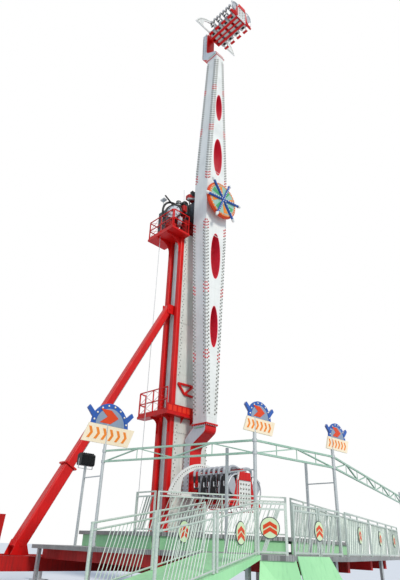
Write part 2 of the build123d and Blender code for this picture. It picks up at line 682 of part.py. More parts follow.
def make_chassis():
    """Trailer chassis beams, cross members, outriggers, jack feet and the tail post."""
    low = BASE_TOP_Z - BEAM_DEPTH
    inner = CHASSIS_HALF_Y - BEAM_WIDTH - RUN_GAP
    with BuildPart() as chassis:
        for side in (-1, 1):
            y_range = sorted((side * CHASSIS_HALF_Y, side * (CHASSIS_HALF_Y - BEAM_WIDTH)))
            add_box(CHASSIS_X, y_range, (low, BASE_TOP_Z))
        for x in CROSS_MEMBERS:
            add_box((x - CROSS_WIDTH / 2, x + CROSS_WIDTH / 2), (-inner, inner), (low, BASE_TOP_Z))
        add_box((COLUMN_X[0] - RUN_GAP - POST_SIZE, COLUMN_X[1]), (-inner, inner), (low, BASE_TOP_Z))
        top = TAIL_POST_TOP_Z
        add_front_plate([(TAIL_POST_X[0], BASE_TOP_Z + RUN_GAP), (TAIL_POST_X[1], BASE_TOP_Z + RUN_GAP),
                         (TAIL_POST_X[1] + TAIL_POST_FLARE, top), (TAIL_POST_X[0] - TAIL_POST_FLARE, top)],
                        (CHASSIS_HALF_Y - BEAM_WIDTH, CHASSIS_HALF_Y))
    keep(chassis, "chassis_frame")
    with BuildPart() as outriggers:
        for x in OUTRIGGER_X:
            for side in (-1, 1):
                y_range = sorted((side * (CHASSIS_HALF_Y + RUN_GAP), side * OUTRIGGER_REACH))
                add_box((x - OUTRIGGER_WIDTH / 2, x + OUTRIGGER_WIDTH / 2), y_range,
                        (low, low + OUTRIGGER_DEPTH))
    keep(outriggers, "outrigger_beams")
    beam_y = CHASSIS_HALF_Y - BEAM_WIDTH / 2
    places = [(x, side * OUTRIGGER_FOOT_Y) for x in OUTRIGGER_X for side in (-1, 1)]
    places += [(x, side * beam_y) for x in TAIL_FEET_X for side in (-1, 1)]
    with BuildPart() as feet:
        for x, y in places:
            add_foot(x, y, FOOT_SIZE, JACK_SIZE, low)
        add_foot(0, 0, FOOT_SIZE, CENTRE_FOOT_SIZE, low)
        add_foot(*CABLE_PLACE, JACK_SIZE, JACK_SIZE, CABLE_FOOT)
    keep(feet, "jack_feet")


def add_foot(x, y, plate, leg, top):
    """Jack foot: a ground plate and an upright leg."""
    add_box((x - plate / 2, x + plate / 2), (y - plate / 2, y + plate / 2), (0, FOOT_THICKNESS))
    add_bar((x, y, FOOT_THICKNESS), (x, y, top), leg, leg)


def front_edge_y(x):
    """Y of the lower deck's front edge at x."""
    for (x0, y0), (x1, y1) in zip(LOWER_DECK, LOWER_DECK[1:]):
        if x0 <= x <= x1 and x1 > x0:
            return y0 + (y1 - y0) * (x - x0) / (x1 - x0)
    return LOWER_DECK[-1][1]


def make_decks():
    """Lower and upper decks with joists, legs and the fascia between them."""
    under = DECK_Z - DECK_THICKNESS
    with BuildPart() as lower:
        with BuildSketch(Plane.XY.offset(under)):
            Polygon(*LOWER_DECK, align=None)
        extrude(amount=DECK_THICKNESS)
    keep(lower, "lower_deck")
    with BuildPart() as upper:
        with BuildSketch(Plane.XY.offset(UPPER_DECK_Z - DECK_THICKNESS)):
            Polygon(*UPPER_DECK, align=None)
        extrude(amount=DECK_THICKNESS)
    keep(upper, "upper_deck")
    with BuildPart() as joists:
        for x in JOIST_X:
            add_box((x - JOIST_WIDTH / 2, x + JOIST_WIDTH / 2),
                    (front_edge_y(x) + JOIST_END_MARGIN, -CHASSIS_HALF_Y),
                    (BASE_TOP_Z - JOIST_LAP, under))
    keep(joists, "deck_joists")
    with BuildPart() as legs:
        for x, y in DECK_LEGS:
            add_box((x - DECK_PAD_SIZE / 2, x + DECK_PAD_SIZE / 2),
                    (y - DECK_PAD_SIZE / 2, y + DECK_PAD_SIZE / 2), (0, DECK_PAD_THICKNESS))
            add_bar((x, y, DECK_PAD_THICKNESS), (x, y, under), DECK_LEG_SIZE, DECK_LEG_SIZE)
        for x, y in UPPER_DECK_LEGS:
            add_bar((x, y, DECK_Z), (x, y, UPPER_DECK_Z - DECK_THICKNESS), DECK_LEG_SIZE, DECK_LEG_SIZE)
    keep(legs, "deck_legs")
    with BuildPart() as fascia:
        for start, end in zip(UPPER_DECK, UPPER_DECK[1:]):
            along = (Vector(*end) - Vector(*start)).normalized()
            inward = Vector(-along.Y, along.X) * (FASCIA_THICKNESS / 2 + FASCIA_MARGIN)
            a = Vector(*start) + along * FASCIA_MARGIN * 3 + inward
            b = Vector(*end) - along * FASCIA_MARGIN * 3 + inward
            middle = (DECK_Z + UPPER_DECK_Z - DECK_THICKNESS) / 2
            add_bar((a.X, a.Y, middle), (b.X, b.Y, middle), FASCIA_THICKNESS,
                    UPPER_DECK_Z - DECK_THICKNESS - DECK_Z)
    keep(fascia, "upper_deck_fascia")


def make_skirt():
    """Leaning mint panel that hangs from the lower deck's front edge by the ramp."""
    first, last = Vector(*LOWER_DECK[3]), Vector(*LOWER_DECK[4])
    start, end = (first + (last - first) * share for share in SKIRT_SPAN)
    along = (end - start).normalized()
    outward = Vector(along.Y, -along.X)
    plane = Plane(origin=(end.X, end.Y, 0), x_dir=outward, z_dir=along * -1)
    hanger = DECK_Z - DECK_THICKNESS
    with BuildPart() as skirt:
        with BuildSketch(plane):
            Polygon((RUN_GAP, DECK_Z), (RUN_GAP, hanger), (SKIRT_LEAN, SKIRT_FOOT_Z),
                    (SKIRT_LEAN + SKIRT_THICKNESS, SKIRT_FOOT_Z), (RUN_GAP + SKIRT_THICKNESS, DECK_Z),
                    align=None)
        extrude(amount=(end - start).length)
    keep(skirt, "front_skirt")


def add_fence(start, end, z_start, z_end):
    """Fence panel of slanted bars between end posts, level or climbing with a ramp."""
    along = Vector(end[0] - start[0], end[1] - start[1], 0)
    length = along.length
    rise = z_end - z_start
    grade = math.degrees(math.atan2(rise, length))
    plane = Plane(origin=(start[0], start[1], z_start), x_dir=along, z_dir=along.cross(Vector(0, 0, 1)))
    bar_zone = FENCE_HEIGHT - FENCE_RAIL_SPACING - FENCE_FOOT_RAIL_Z
    bar_middle = FENCE_FOOT_RAIL_Z + bar_zone / 2
    rails = (FENCE_HEIGHT - FENCE_RAIL / 2, FENCE_HEIGHT - FENCE_RAIL_SPACING, FENCE_FOOT_RAIL_Z)
    with BuildSketch(plane) as panel:
        for height in rails:
            with Locations(Location((length / 2, rise / 2 + height, 0), (0, 0, grade))):
                Rectangle(math.hypot(length, rise) - FENCE_RAIL / 2, FENCE_RAIL)
        for share in (FENCE_POST_WIDTH / 2 / length, 1 - FENCE_POST_WIDTH / 2 / length):
            with Locations((share * length, share * rise + FENCE_HEIGHT / 2)):
                Rectangle(FENCE_POST_WIDTH, FENCE_HEIGHT)
        count = max(2, round((length - 2 * FENCE_END_BARS) / FENCE_PITCH))
        for index in range(count + 1):
            x = FENCE_END_BARS + index * (length - 2 * FENCE_END_BARS) / count
            with Locations(Location((x, rise * x / length + bar_middle, 0), (0, 0, -FENCE_SLANT))):
                Rectangle(FENCE_BAR, bar_zone / math.cos(math.radians(FENCE_SLANT)))
    extrude(panel.sketch, amount=FENCE_THICKNESS / 2, both=True)


def make_fences():
    """Fences round the lower and upper decks, in straight panels that stand apart."""
    groups = {
        "fence_front": (DECK_Z, [[(-6180, -9500), (-5570, -10060)],
                                 [(-5450, -10090), (-4200, -9960), (-2950, -9830)],
                                 [(-2650, -9800), (500, -8760), (3650, -7720), (6200, -6880)]]),
        "fence_upper": (UPPER_DECK_Z, [[(-5850, -4500), (-5850, -5500), (-2580, -7800)],
                                       [(-2450, -7830), (1700, -6400), (5850, -4960)]]),
    }
    for name, (z, runs) in groups.items():
        with BuildPart() as fence:
            for points in runs:
                for start, end in zip(points, points[1:]):
                    gap = (Vector(*end) - Vector(*start)).normalized() * FENCE_POST_WIDTH
                    add_fence((start[0] + gap.X, start[1] + gap.Y), end, z, z)
        keep(fence, name)


def make_ramp():
    """Entry ramp down to the left of the front corner, with steps and two side fences."""
    along = Vector(RAMP_END[0] - RAMP_START[0], RAMP_END[1] - RAMP_START[1], 0)
    length = along.length
    unit = along.normalized()
    across = Vector(unit.Y, -unit.X, 0)
    plane = Plane(origin=(RAMP_START[0], RAMP_START[1], 0), x_dir=unit, z_dir=across * -1)
    sign = 1 if plane.y_dir.Z > 0 else -1
    steps = []
    for index in range(RAMP_STEPS):
        x = length + index * RAMP_TREAD
        z = RAMP_END_Z * (1 - (index + 1) / (RAMP_STEPS + 1))
        steps += [(x, z + RAMP_END_Z / (RAMP_STEPS + 1) if index == 0 else z), (x, z)]
        steps += [(x + RAMP_TREAD, z)]
    outline = [(0, DECK_Z), (length, RAMP_END_Z)] + steps[1:] + [(length + RAMP_STEPS * RAMP_TREAD, 0),
               (length + (RAMP_STEPS - 1) * RAMP_TREAD, 0), (length, RAMP_END_Z - 4 * RAMP_THICKNESS),
               (0, DECK_Z - RAMP_THICKNESS)]
    with BuildPart() as ramp:
        with BuildSketch(plane):
            Polygon(*[(x, sign * z) for x, z in outline], align=None)
        extrude(amount=RAMP_WIDTH / 2, both=True)
    keep(ramp, "entry_ramp")
    lift = RUN_GAP + FENCE_POST_WIDTH / 2 * (DECK_Z - RAMP_END_Z) / length
    with BuildPart() as fences:
        for side in (-1, 1):
            shift = across * (side * (RAMP_WIDTH / 2 - FENCE_THICKNESS))
            middle = length / 2
            for first, last in ((0, middle - FENCE_RAIL), (middle + FENCE_RAIL, length)):
                a = Vector(*RAMP_START) + unit * first + shift
                b = Vector(*RAMP_START) + unit * last + shift
                z_a = DECK_Z + (RAMP_END_Z - DECK_Z) * first / length + lift
                z_b = DECK_Z + (RAMP_END_Z - DECK_Z) * last / length + lift
                add_fence((a.X, a.Y), (b.X, b.Y), z_a, z_b)
    keep(fences, "ramp_fences")


def make_masts():
    """Light masts with trusses, companion props, sign boards and a floodlight."""
    with BuildPart() as masts:
        with BuildSketch(Plane.XY.offset(DECK_Z)):
            with Locations(*MASTS):
                Circle(MAST_SIZE / 2)
        extrude(amount=TRUSS_Z + MAST_RISE - DECK_Z)
        for (x, y), top in zip(MASTS, PROP_TOPS):
            prop_y = y + PROP_OFFSET
            add_bar((x, prop_y, DECK_Z), (x, prop_y, top), PROP_SIZE, PROP_SIZE)
            add_bar((x, y, PROP_TIE_Z), (x, prop_y, PROP_TIE_Z), PROP_SIZE / 2, PROP_SIZE / 2)
    keep(masts, "light_masts")
    with BuildPart() as trusses:
        for start, end in zip(MASTS, MASTS[1:]):
            add_truss(start, end)
    keep(trusses, "mast_trusses")


def add_truss(start, end):
    """Flat truss of two chords and a zigzag between two masts."""
    direction = Vector(end[0] - start[0], end[1] - start[1], 0).normalized()
    origin = Vector(start[0], start[1], 0) + direction * (MAST_SIZE / 2 + RUN_GAP)
    span = math.dist(start, end) - MAST_SIZE - 2 * RUN_GAP
    bays = 2 * round(span / 2 / TRUSS_BAY)
    step = span / bays
    plane = Plane(origin=(origin.X, origin.Y, TRUSS_Z - TRUSS_DEPTH), x_dir=direction,
                  z_dir=direction.cross(Vector(0, 0, 1)))
    with BuildSketch(plane) as truss:
        with Locations((span / 2, 0), (span / 2, TRUSS_DEPTH)):
            Rectangle(span, TRUSS_CHORD)
        for index in range(bays):
            z0, z1 = (0, TRUSS_DEPTH) if index % 2 == 0 else (TRUSS_DEPTH, 0)
            angle = math.degrees(math.atan2(z1 - z0, step))
            with Locations(Location(((index + 0.5) * step, TRUSS_DEPTH / 2, 0), (0, 0, angle))):
                Rectangle(math.hypot(step, TRUSS_DEPTH) - TRUSS_CHORD, TRUSS_LACING)
    extrude(truss.sketch, amount=TRUSS_CHORD / 2, both=True)


def make_signs():
    """Plain boards on the mast tops and a floodlight behind the first mast."""
    top = TRUSS_Z + MAST_RISE
    with BuildPart() as signs:
        for x, y in MASTS[:3]:
            add_box((x - SIGN_SIZE[0] / 2, x + SIGN_SIZE[0] / 2),
                    (y - SIGN_THICKNESS / 2, y + SIGN_THICKNESS / 2), (top, top + SIGN_SIZE[1]))
    keep(signs, "sign_boards")
    x, y = MASTS[0][0], MASTS[0][1] + PROP_OFFSET
    width, depth, height = FLOODLIGHT_SIZE
    with BuildPart() as lamp:
        add_box((x - width / 2, x + width / 2), (y - depth / 2, y + depth / 2),
                (PROP_TOPS[0], PROP_TOPS[0] + height))
        fillet(lamp.edges().filter_by(Axis.X), radius=PROP_SIZE)
    keep(lamp, "floodlight")


def seat_centres():
    """Y centre of each seat in a row, from the axle end forwards."""
    return [ROW_START_Y - SEAT_PITCH * (index + 0.5) for index in range(SEAT_COUNT)]


def seat_outline(side, axis_z):
    """Side outline of a seat shell that faces along side."""
    pan = axis_z - SEAT_PAN_DROP
    top = axis_z + SEAT_HEIGHT
    back = SEAT_BACK_X
    lip = back + SEAT_DEPTH
    points = [(back, pan - SEAT_SHELL), (lip - SEAT_LIP_BACK, pan - SEAT_SHELL),
              (lip, pan + SEAT_LIP_RISE / 2), (lip - SEAT_LIP_BACK, pan + SEAT_LIP_RISE),
              (back + SEAT_SHELL + SEAT_RAKE, pan + SEAT_CREASE_RISE), (back + SEAT_SHELL, top - SEAT_NECK_DROP),
              (back + SEAT_SHELL + SEAT_NECK_LIP, top), (back - SEAT_CROWN_WIDTH, top),
              (back - SEAT_CROWN_WIDTH, top - SEAT_CROWN_DEPTH)]
    return [(side * x, z) for x, z in points]


def seat_face_x(z, axis_z):
    """Distance from the gondola's middle plane to the front of a backrest at height z."""
    low = axis_z - SEAT_PAN_DROP + SEAT_CREASE_RISE
    high = axis_z + SEAT_HEIGHT - SEAT_NECK_DROP
    return SEAT_BACK_X + SEAT_SHELL + SEAT_RAKE * (high - z) / (high - low)


def make_seats(prefix, axis_z):
    """Eight seat shells back to back, and their foam pads."""
    pan = axis_z - SEAT_PAN_DROP
    top = axis_z + SEAT_HEIGHT
    with BuildPart() as seats:
        for side in (-1, 1):
            for y in seat_centres():
                with BuildSketch(Plane.XZ.offset(-y)):
                    Polygon(*seat_outline(side, axis_z), align=None)
                extrude(amount=SEAT_WIDTH / 2, both=True)
    keep(seats, f"{prefix}_seats")
    with BuildPart() as pads:
        for side in (-1, 1):
            low, high = pan + PAD_RISE, top - PAD_DROP
            behind = [seat_face_x(z, axis_z) + RUN_GAP for z in (low, high)]
            outline = [(behind[0] + PAD_THICKNESS, low), (behind[0], low), (behind[1], high),
                       (behind[1] + PAD_THICKNESS, high)]
            for y in seat_centres():
                with BuildSketch(Plane.XZ.offset(-y)):
                    Polygon(*[(side * x, z) for x, z in outline], align=None)
                extrude(amount=PAD_WIDTH / 2, both=True)
    keep(pads, f"{prefix}_seat_pads")


def make_gondola_frame(prefix, axis_z):
    """Hub drum with its bore, two long beams, cross beams, spine and footrests."""
    floor = axis_z - GONDOLA_FLOOR_DROP
    beam_top = floor + GONDOLA_BEAM_DEPTH
    pan_under = axis_z - SEAT_PAN_DROP - SEAT_SHELL - RUN_GAP
    end_y = GONDOLA_FRONT_Y + PANEL_THICKNESS + RUN_GAP
    back_y = GONDOLA_BACK_Y
    with BuildPart() as frame:
        add_drum(GONDOLA_BACK_Y, GONDOLA_HUB_LENGTH - RUN_GAP, GONDOLA_HUB_RADIUS, (0, axis_z))
        with BuildSketch(Plane.XZ.offset(-LEG_FRONT_Y)):
            with Locations((0, axis_z)):
                Circle(AXLE_RADIUS + RUN_GAP)
        extrude(amount=AXLE_LENGTH + RUN_GAP, mode=Mode.SUBTRACT)
        for side in (-1, 1):
            x_range = (side * GONDOLA_BEAM_X - GONDOLA_BEAM_WIDTH / 2,
                       side * GONDOLA_BEAM_X + GONDOLA_BEAM_WIDTH / 2)
            add_box(x_range, (end_y, back_y), (floor, beam_top))
        outline = [(-GONDOLA_HUB_RADIUS, axis_z), (-GONDOLA_BEAM_X - GONDOLA_BEAM_WIDTH / 2, floor),
                   (GONDOLA_BEAM_X + GONDOLA_BEAM_WIDTH / 2, floor), (GONDOLA_HUB_RADIUS, axis_z),
                   (SPINE_HALF_WIDTH, axis_z + SEAT_HEIGHT), (-SPINE_HALF_WIDTH, axis_z + SEAT_HEIGHT)]
        add_front_plate(outline, (back_y - GONDOLA_END_THICKNESS, back_y))
        half_end = [(END_WING_HALF_WIDTH, floor), (END_WING_HALF_WIDTH, floor + END_WING_TIP),
                    (PANEL_HALF_WIDTH, floor + END_WING_RISE), (SPINE_HALF_WIDTH, axis_z + SEAT_HEIGHT)]
        add_front_plate(half_end + [(-x, z) for x, z in reversed(half_end)],
                        (end_y, end_y + GONDOLA_END_THICKNESS))
        arch_base = axis_z - ARCH_BASE_DROP - RUN_GAP
        arch_front = back_y - GONDOLA_END_THICKNESS - ARCH_THICKNESS - 2 * RUN_GAP
        cap = (axis_z + SEAT_HEIGHT + RUN_GAP, axis_z + RESTRAINT_PIVOT_RISE - RESTRAINT_ROD - RUN_GAP)
        add_box((-SPINE_HALF_WIDTH, SPINE_HALF_WIDTH), (end_y, back_y), (floor, arch_base))
        add_box((-SPINE_HALF_WIDTH, SPINE_HALF_WIDTH), (end_y, arch_front), (arch_base, cap[0]))
        add_box((-SPINE_CAP_HALF_WIDTH, SPINE_CAP_HALF_WIDTH), (end_y, arch_front), cap)
        for y in seat_centres():
            add_box((-GONDOLA_BEAM_X, GONDOLA_BEAM_X), (y - CARRIER_WIDTH / 2, y + CARRIER_WIDTH / 2),
                    (floor + CARRIER_WIDTH, pan_under))
    keep(frame, f"{prefix}_gondola_frame")


def make_arch(prefix, axis_z):
    """White arch band on the gondola's axle end, with a base bar and corner infills."""
    centre_z = axis_z - ARCH_CENTRE_DROP
    base_z = axis_z - ARCH_BASE_DROP
    y = GONDOLA_BACK_Y - GONDOLA_END_THICKNESS - RUN_GAP
    with BuildPart() as arch:
        with BuildSketch(Plane.XZ.offset(-y)):
            with Locations((0, centre_z)):
                Circle(ARCH_RADIUS)
            with Locations((0, base_z - ARCH_RADIUS)):
                Rectangle(3 * ARCH_RADIUS, 2 * ARCH_RADIUS, mode=Mode.SUBTRACT)
            with BuildSketch(mode=Mode.PRIVATE) as opening:
                with Locations((0, centre_z)):
                    Circle(ARCH_RADIUS - ARCH_BAND)
                with Locations((0, axis_z - ARCH_OPENING_DROP)):
                    Circle(ARCH_OPENING_RADIUS, mode=Mode.INTERSECT)
                with Locations((0, base_z + ARCH_BASE_HEIGHT - ARCH_RADIUS)):
                    Rectangle(3 * ARCH_RADIUS, 2 * ARCH_RADIUS, mode=Mode.SUBTRACT)
            add(opening.sketch, mode=Mode.SUBTRACT)
        extrude(amount=ARCH_THICKNESS)
    keep(arch, f"{prefix}_gondola_arch")


def make_end_panel(prefix, axis_z):
    """White lamp panel with a red head box on the gondola's free end."""
    y_range = (GONDOLA_FRONT_Y, GONDOLA_FRONT_Y + PANEL_THICKNESS)
    low = axis_z - PANEL_LOW
    high = axis_z + PANEL_HIGH
    with BuildPart() as panel:
        add_front_plate([(-PANEL_HALF_WIDTH, low), (PANEL_HALF_WIDTH, low), (PANEL_HALF_WIDTH, high),
                         (HEAD_BOX_HALF_WIDTH, axis_z + HEAD_BOX_HIGH),
                         (-HEAD_BOX_HALF_WIDTH, axis_z + HEAD_BOX_HIGH), (-PANEL_HALF_WIDTH, high)], y_range)
    keep(panel, f"{prefix}_end_panel")


def make_restraints(prefix, axis_z):
    """Over-shoulder restraint tubes of each seat row on their pivot rods."""
    for side, word in ((-1, "left"), (1, "right")):
        pivot_z = axis_z + RESTRAINT_PIVOT_RISE
        pivot_x = side * RESTRAINT_PIVOT_X
        ys = seat_centres()
        with BuildPart() as restraints:
            ends = (ys[-1] - SEAT_WIDTH / 2, ys[0] + SEAT_WIDTH / 2)
            add_rod((pivot_x, ends[0], pivot_z), (pivot_x, ends[1], pivot_z), RESTRAINT_ROD)
            lap_x = side * (RESTRAINT_PIVOT_X + RESTRAINT_REACH)
            lap_z = pivot_z - RESTRAINT_DROP
            for y in ys:
                near, far = y - RESTRAINT_HALF_SPREAD, y + RESTRAINT_HALF_SPREAD
                with BuildLine() as hoop:
                    FilletPolyline((pivot_x, near, pivot_z), (lap_x, near, pivot_z), (lap_x, near, lap_z),
                                   (lap_x, far, lap_z), (lap_x, far, pivot_z), (pivot_x, far, pivot_z),
                                   radius=(RESTRAINT_BEND, RESTRAINT_CORNER, RESTRAINT_CORNER, RESTRAINT_BEND))
                with BuildSketch(Plane(origin=(pivot_x, near, pivot_z), z_dir=(side, 0, 0))):
                    Circle(RESTRAINT_TUBE / 2)
                sweep(path=hoop.line)
        keep(restraints, f"{prefix}_restraints_{word}")


make_arm()
make_liners()
make_leg("lower_leg", -1)
make_leg("upper_leg", 1)
make_hub()
make_drive()
make_column()
make_head()
make_walkways()
make_walkway_fittings()
make_strut()
make_chassis()
make_decks()
make_skirt()
make_fences()
make_ramp()
make_masts()
make_signs()
for name, height in (("lower", HUB_Z - SWING_RADIUS), ("upper", HUB_Z + SWING_RADIUS)):
    make_seats(name, height)
    make_gondola_frame(name, height)
    make_arch(name, height)
    make_end_panel(name, height)
    make_restraints(name, height)
print(len(pieces), "pieces")
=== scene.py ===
import math
from itertools import product

import bmesh
import bpy
from mathutils import Matrix, Vector


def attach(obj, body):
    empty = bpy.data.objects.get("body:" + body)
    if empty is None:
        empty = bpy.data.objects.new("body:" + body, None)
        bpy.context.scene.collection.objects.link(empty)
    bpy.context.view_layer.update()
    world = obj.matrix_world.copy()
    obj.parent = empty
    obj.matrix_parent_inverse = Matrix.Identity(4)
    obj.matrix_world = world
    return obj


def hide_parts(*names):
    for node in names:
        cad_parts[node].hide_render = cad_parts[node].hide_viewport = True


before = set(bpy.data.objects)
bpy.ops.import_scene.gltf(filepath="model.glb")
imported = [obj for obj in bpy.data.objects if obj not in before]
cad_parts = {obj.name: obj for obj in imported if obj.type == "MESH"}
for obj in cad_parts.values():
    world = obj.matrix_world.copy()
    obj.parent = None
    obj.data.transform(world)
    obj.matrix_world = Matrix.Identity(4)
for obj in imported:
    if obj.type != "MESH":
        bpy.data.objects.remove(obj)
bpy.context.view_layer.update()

bl_info = {
    "name": "Rotating arm ride",
    "version": (1, 0, 0),
    "blender": (4, 5, 0),
    "location": "View3D > Sidebar > Ride",
    "description": "Dresses the rotating arm ride's frame with its lamps, seats, signs and finishes",
    "category": "Object",
}

SIDES = (-1, 1)
SIDE_WORDS = ((-1, "left"), (1, "right"))
UP = Vector((0, 0, 1))
FRONT = (0, -1, 0)

# the arm, its lamps and its legs; heights on them are measured from the hub
HUB_Z = 18.65
SWING = 14.9
ARM_FRONT_Y = -1.9
ARM_BACK_HUB_Y = -0.9
ARM_BACK_END_Y = -1.02
ARM_HALF_LENGTH = 12.18
ARM_STRAIGHT_HALF = 2.2
ARM_HALF_WIDTH_HUB = 0.77
ARM_HALF_WIDTH_END = 0.32
WELD = 0.005
LAMP_INSET = 0.06
LAMP_ROW_GAP = 0.1
RED_GROUPS = (1.72, 5.45, 9.0)
RED_GROUP_HALF = 0.28
LEG_HALF_WIDTH = 0.335
LEG_PLATE = 0.012
# corners (y, distance from the hub, radius) of a leg's side plate
LEG_OUTLINE = ((-1.835, 12.275, 0), (-1.835, 12.54, 0.25), (-0.905, 13.12, 0.43), (-0.905, 15.2, 0),
               (-0.515, 15.2, 0), (-0.515, 12.8, 0.41), (-1.085, 12.32, 0.04), (-1.085, 12.275, 0))
# start and end (y, distance from the hub), pitch and colour
LEG_LAMP_ROWS = (((-1.74, 12.36), (-1.2, 12.36), 0.09, 2), ((-0.85, 13.35), (-0.85, 15.1), 0.16, 0),
                 ((-0.57, 12.95), (-0.57, 15.1), 0.16, 0))
HUB_DISC_OUT = 0.46

# the gondolas; heights on them are measured from their swing axis
GONDOLAS = (("lower", HUB_Z - SWING), ("upper", HUB_Z + SWING))
GONDOLA_FRONT_Y = -3.85
SEAT_YS = tuple(-1.475 - 0.57 * (index + 0.5) for index in range(4))
SPINE_HALF_WIDTH = 0.05
ARCH_RADIUS = 1.95
ARCH_CENTRE_DROP = 1.05
ARCH_BASE_DROP = 0.315
ARCH_FRONT_Y = -1.4503
ARCH_BACK_Y = -1.3903
# a seat's inner face from pan lip to headrest, as (x, z)
SEAT_PROFILE = ((0.66, -0.44), (0.60, -0.43), (0.42, -0.475), (0.26, -0.48), (0.215, -0.40),
                (0.205, -0.1), (0.19, 0.2), (0.18, 0.45), (0.15, 0.575))
PIVOT_RISE = 0.66
TUBE_HALF_GAP = 0.14
SHELL_PROFILE = ((0.5, -0.02), (0.58, 0.25), (0.78, 0.36), (0.98, 0.22), (0.96, -0.05), (0.78, -0.3),
                 (0.6, -0.38))

# the tower
COLUMN_X = (-0.95, 1.15)
COLUMN_FRONT_Y = -0.45
COLUMN_BACK_Y = 0.85
HIGH_WALKWAY_Z = 16.62
LOW_WALKWAY_Z = 6.92
MOTOR_RING = 0.93
DRUM_Z = 18.12

# decks, fences and masts
DECK_Z = 1.45
UPPER_DECK_Z = 1.9
MASTS = ((-7.33, -4.75), (-6.03, -9.5), (-2.8, -9.7), (8.85, -5.95))
TRUSS_LOW_Z = 3.7
TRUSS_HIGH_Z = 4.0
SIGN_BASE_Z = 4.2
SIGN_SHOULDER = 0.42
FLOODLIGHT = (-7.33, -3.8, 3.65)
# straight fence panels as (start, end, floor height, badge or not)
FENCE_RUNS = (((-6.18, -9.5), (-5.57, -10.06), DECK_Z, True), ((-5.45, -10.09), (-2.95, -9.83), DECK_Z, True),
              ((-2.65, -9.8), (0.5, -8.76), DECK_Z, True), ((0.5, -8.76), (3.65, -7.72), DECK_Z, True),
              ((3.65, -7.72), (6.2, -6.88), DECK_Z, True),
              ((-5.85, -4.5), (-5.85, -5.5), UPPER_DECK_Z, False),
              ((-5.85, -5.5), (-2.58, -7.8), UPPER_DECK_Z, False),
              ((-2.45, -7.83), (1.7, -6.4), UPPER_DECK_Z, False),
              ((1.7, -6.4), (5.85, -4.96), UPPER_DECK_Z, False))
RAMP_START = Vector((-6.405, -9.046, 0))
RAMP_END = Vector((-10.3, -10.13, 0))
RAMP_HALF_WIDTH = 0.71
RAMP_LIFT = 0.006
RAMP_DROP = 0.65

# the picture's camera: focal length and height in pixels, place, heading, upward tilt and roll
FOCAL_PIXELS = 496.0
PICTURE_HEIGHT = 580.0
SENSOR_MM = 36.0
CAMERA_PLACE = (-15.893, -17.844, 1.6)
CAMERA_HEADING = (0.682, 0.7314)
CAMERA_TILT = math.radians(27.2)
CAMERA_ROLL = math.radians(2.2)
SUN_STRENGTH = 2.1
SUN_COLOUR = (1.0, 0.965, 0.9)
SUN_WIDTH = math.radians(12)
SUN_TURN = (math.radians(52), 0, math.radians(-11))
SKY_STRENGTH = 0.56
SKY_COLOUR = (0.81, 0.95, 1.17, 1)


# ---------------------------------------------------------------- colour and nodes
def hex_linear(code):
    """sRGB hex colour as a linear RGBA tuple."""
    channels = [int(code[i:i + 2], 16) / 255 for i in (0, 2, 4)]
    linear = [c / 12.92 if c <= 0.04045 else ((c + 0.055) / 1.055) ** 2.4 for c in channels]
    return (*linear, 1.0)


def add_node(tree, kind, links=None, values=None, **settings):
    """Add a shader node with its settings, input values and incoming links."""
    node = tree.nodes.new(kind)
    for key, value in settings.items():
        setattr(node, key, value)
    for key, value in (values or {}).items():
        node.inputs[key].default_value = value
    for key, source in (links or {}).items():
        tree.links.new(source, node.inputs[key])
    return node


def new_material(name):
    """Empty node material with its tree and Object coordinates."""
    material = bpy.data.materials.new(name)
    material.use_nodes = True
    tree = material.node_tree
    tree.nodes.clear()
    return material, tree, add_node(tree, "ShaderNodeTexCoord").outputs["Object"]


def mapped(tree, coords, **values):
    """Coordinates scaled or turned."""
    return add_node(tree, "ShaderNodeMapping", {"Vector": coords}, values).outputs["Vector"]


def noise(tree, coords, **values):
    """Strength of a noise texture."""
    return add_node(tree, "ShaderNodeTexNoise", {"Vector": coords}, values).outputs["Fac"]


def ranged(tree, value, low, high, source=(0.0, 1.0)):
    """Value taken from a source range to low and high."""
    return add_node(tree, "ShaderNodeMapRange", {"Value": value},
                    {"From Min": source[0], "From Max": source[1], "To Min": low, "To Max": high}).outputs[0]


def combined(tree, operation, first, second):
    """Two values joined by an operation."""
    return add_node(tree, "ShaderNodeMath", {0: first, 1: second}, operation=operation).outputs[0]


def blend(tree, factor, first, second):
    """Mix of two colours, each a hex code or an output."""
    links, values = {"Factor": factor}, {}
    for key, colour in (("A", first), ("B", second)):
        if isinstance(colour, str):
            values[key] = hex_linear(colour)
        else:
            links[key] = colour
    return add_node(tree, "ShaderNodeMix", links, values, data_type="RGBA").outputs["Result"]


def bumped(tree, height, strength, distance):
    """Normal raised by a height."""
    return add_node(tree, "ShaderNodeBump", {"Height": height},
                    {"Strength": strength, "Distance": distance}).outputs[0]


def finished(material, tree, links, values):
    """The material, with a Principled shader of these inputs on its output."""
    shader = add_node(tree, "ShaderNodeBsdfPrincipled", links, values)
    add_node(tree, "ShaderNodeOutputMaterial", {"Surface": shader.outputs[0]})
    return material


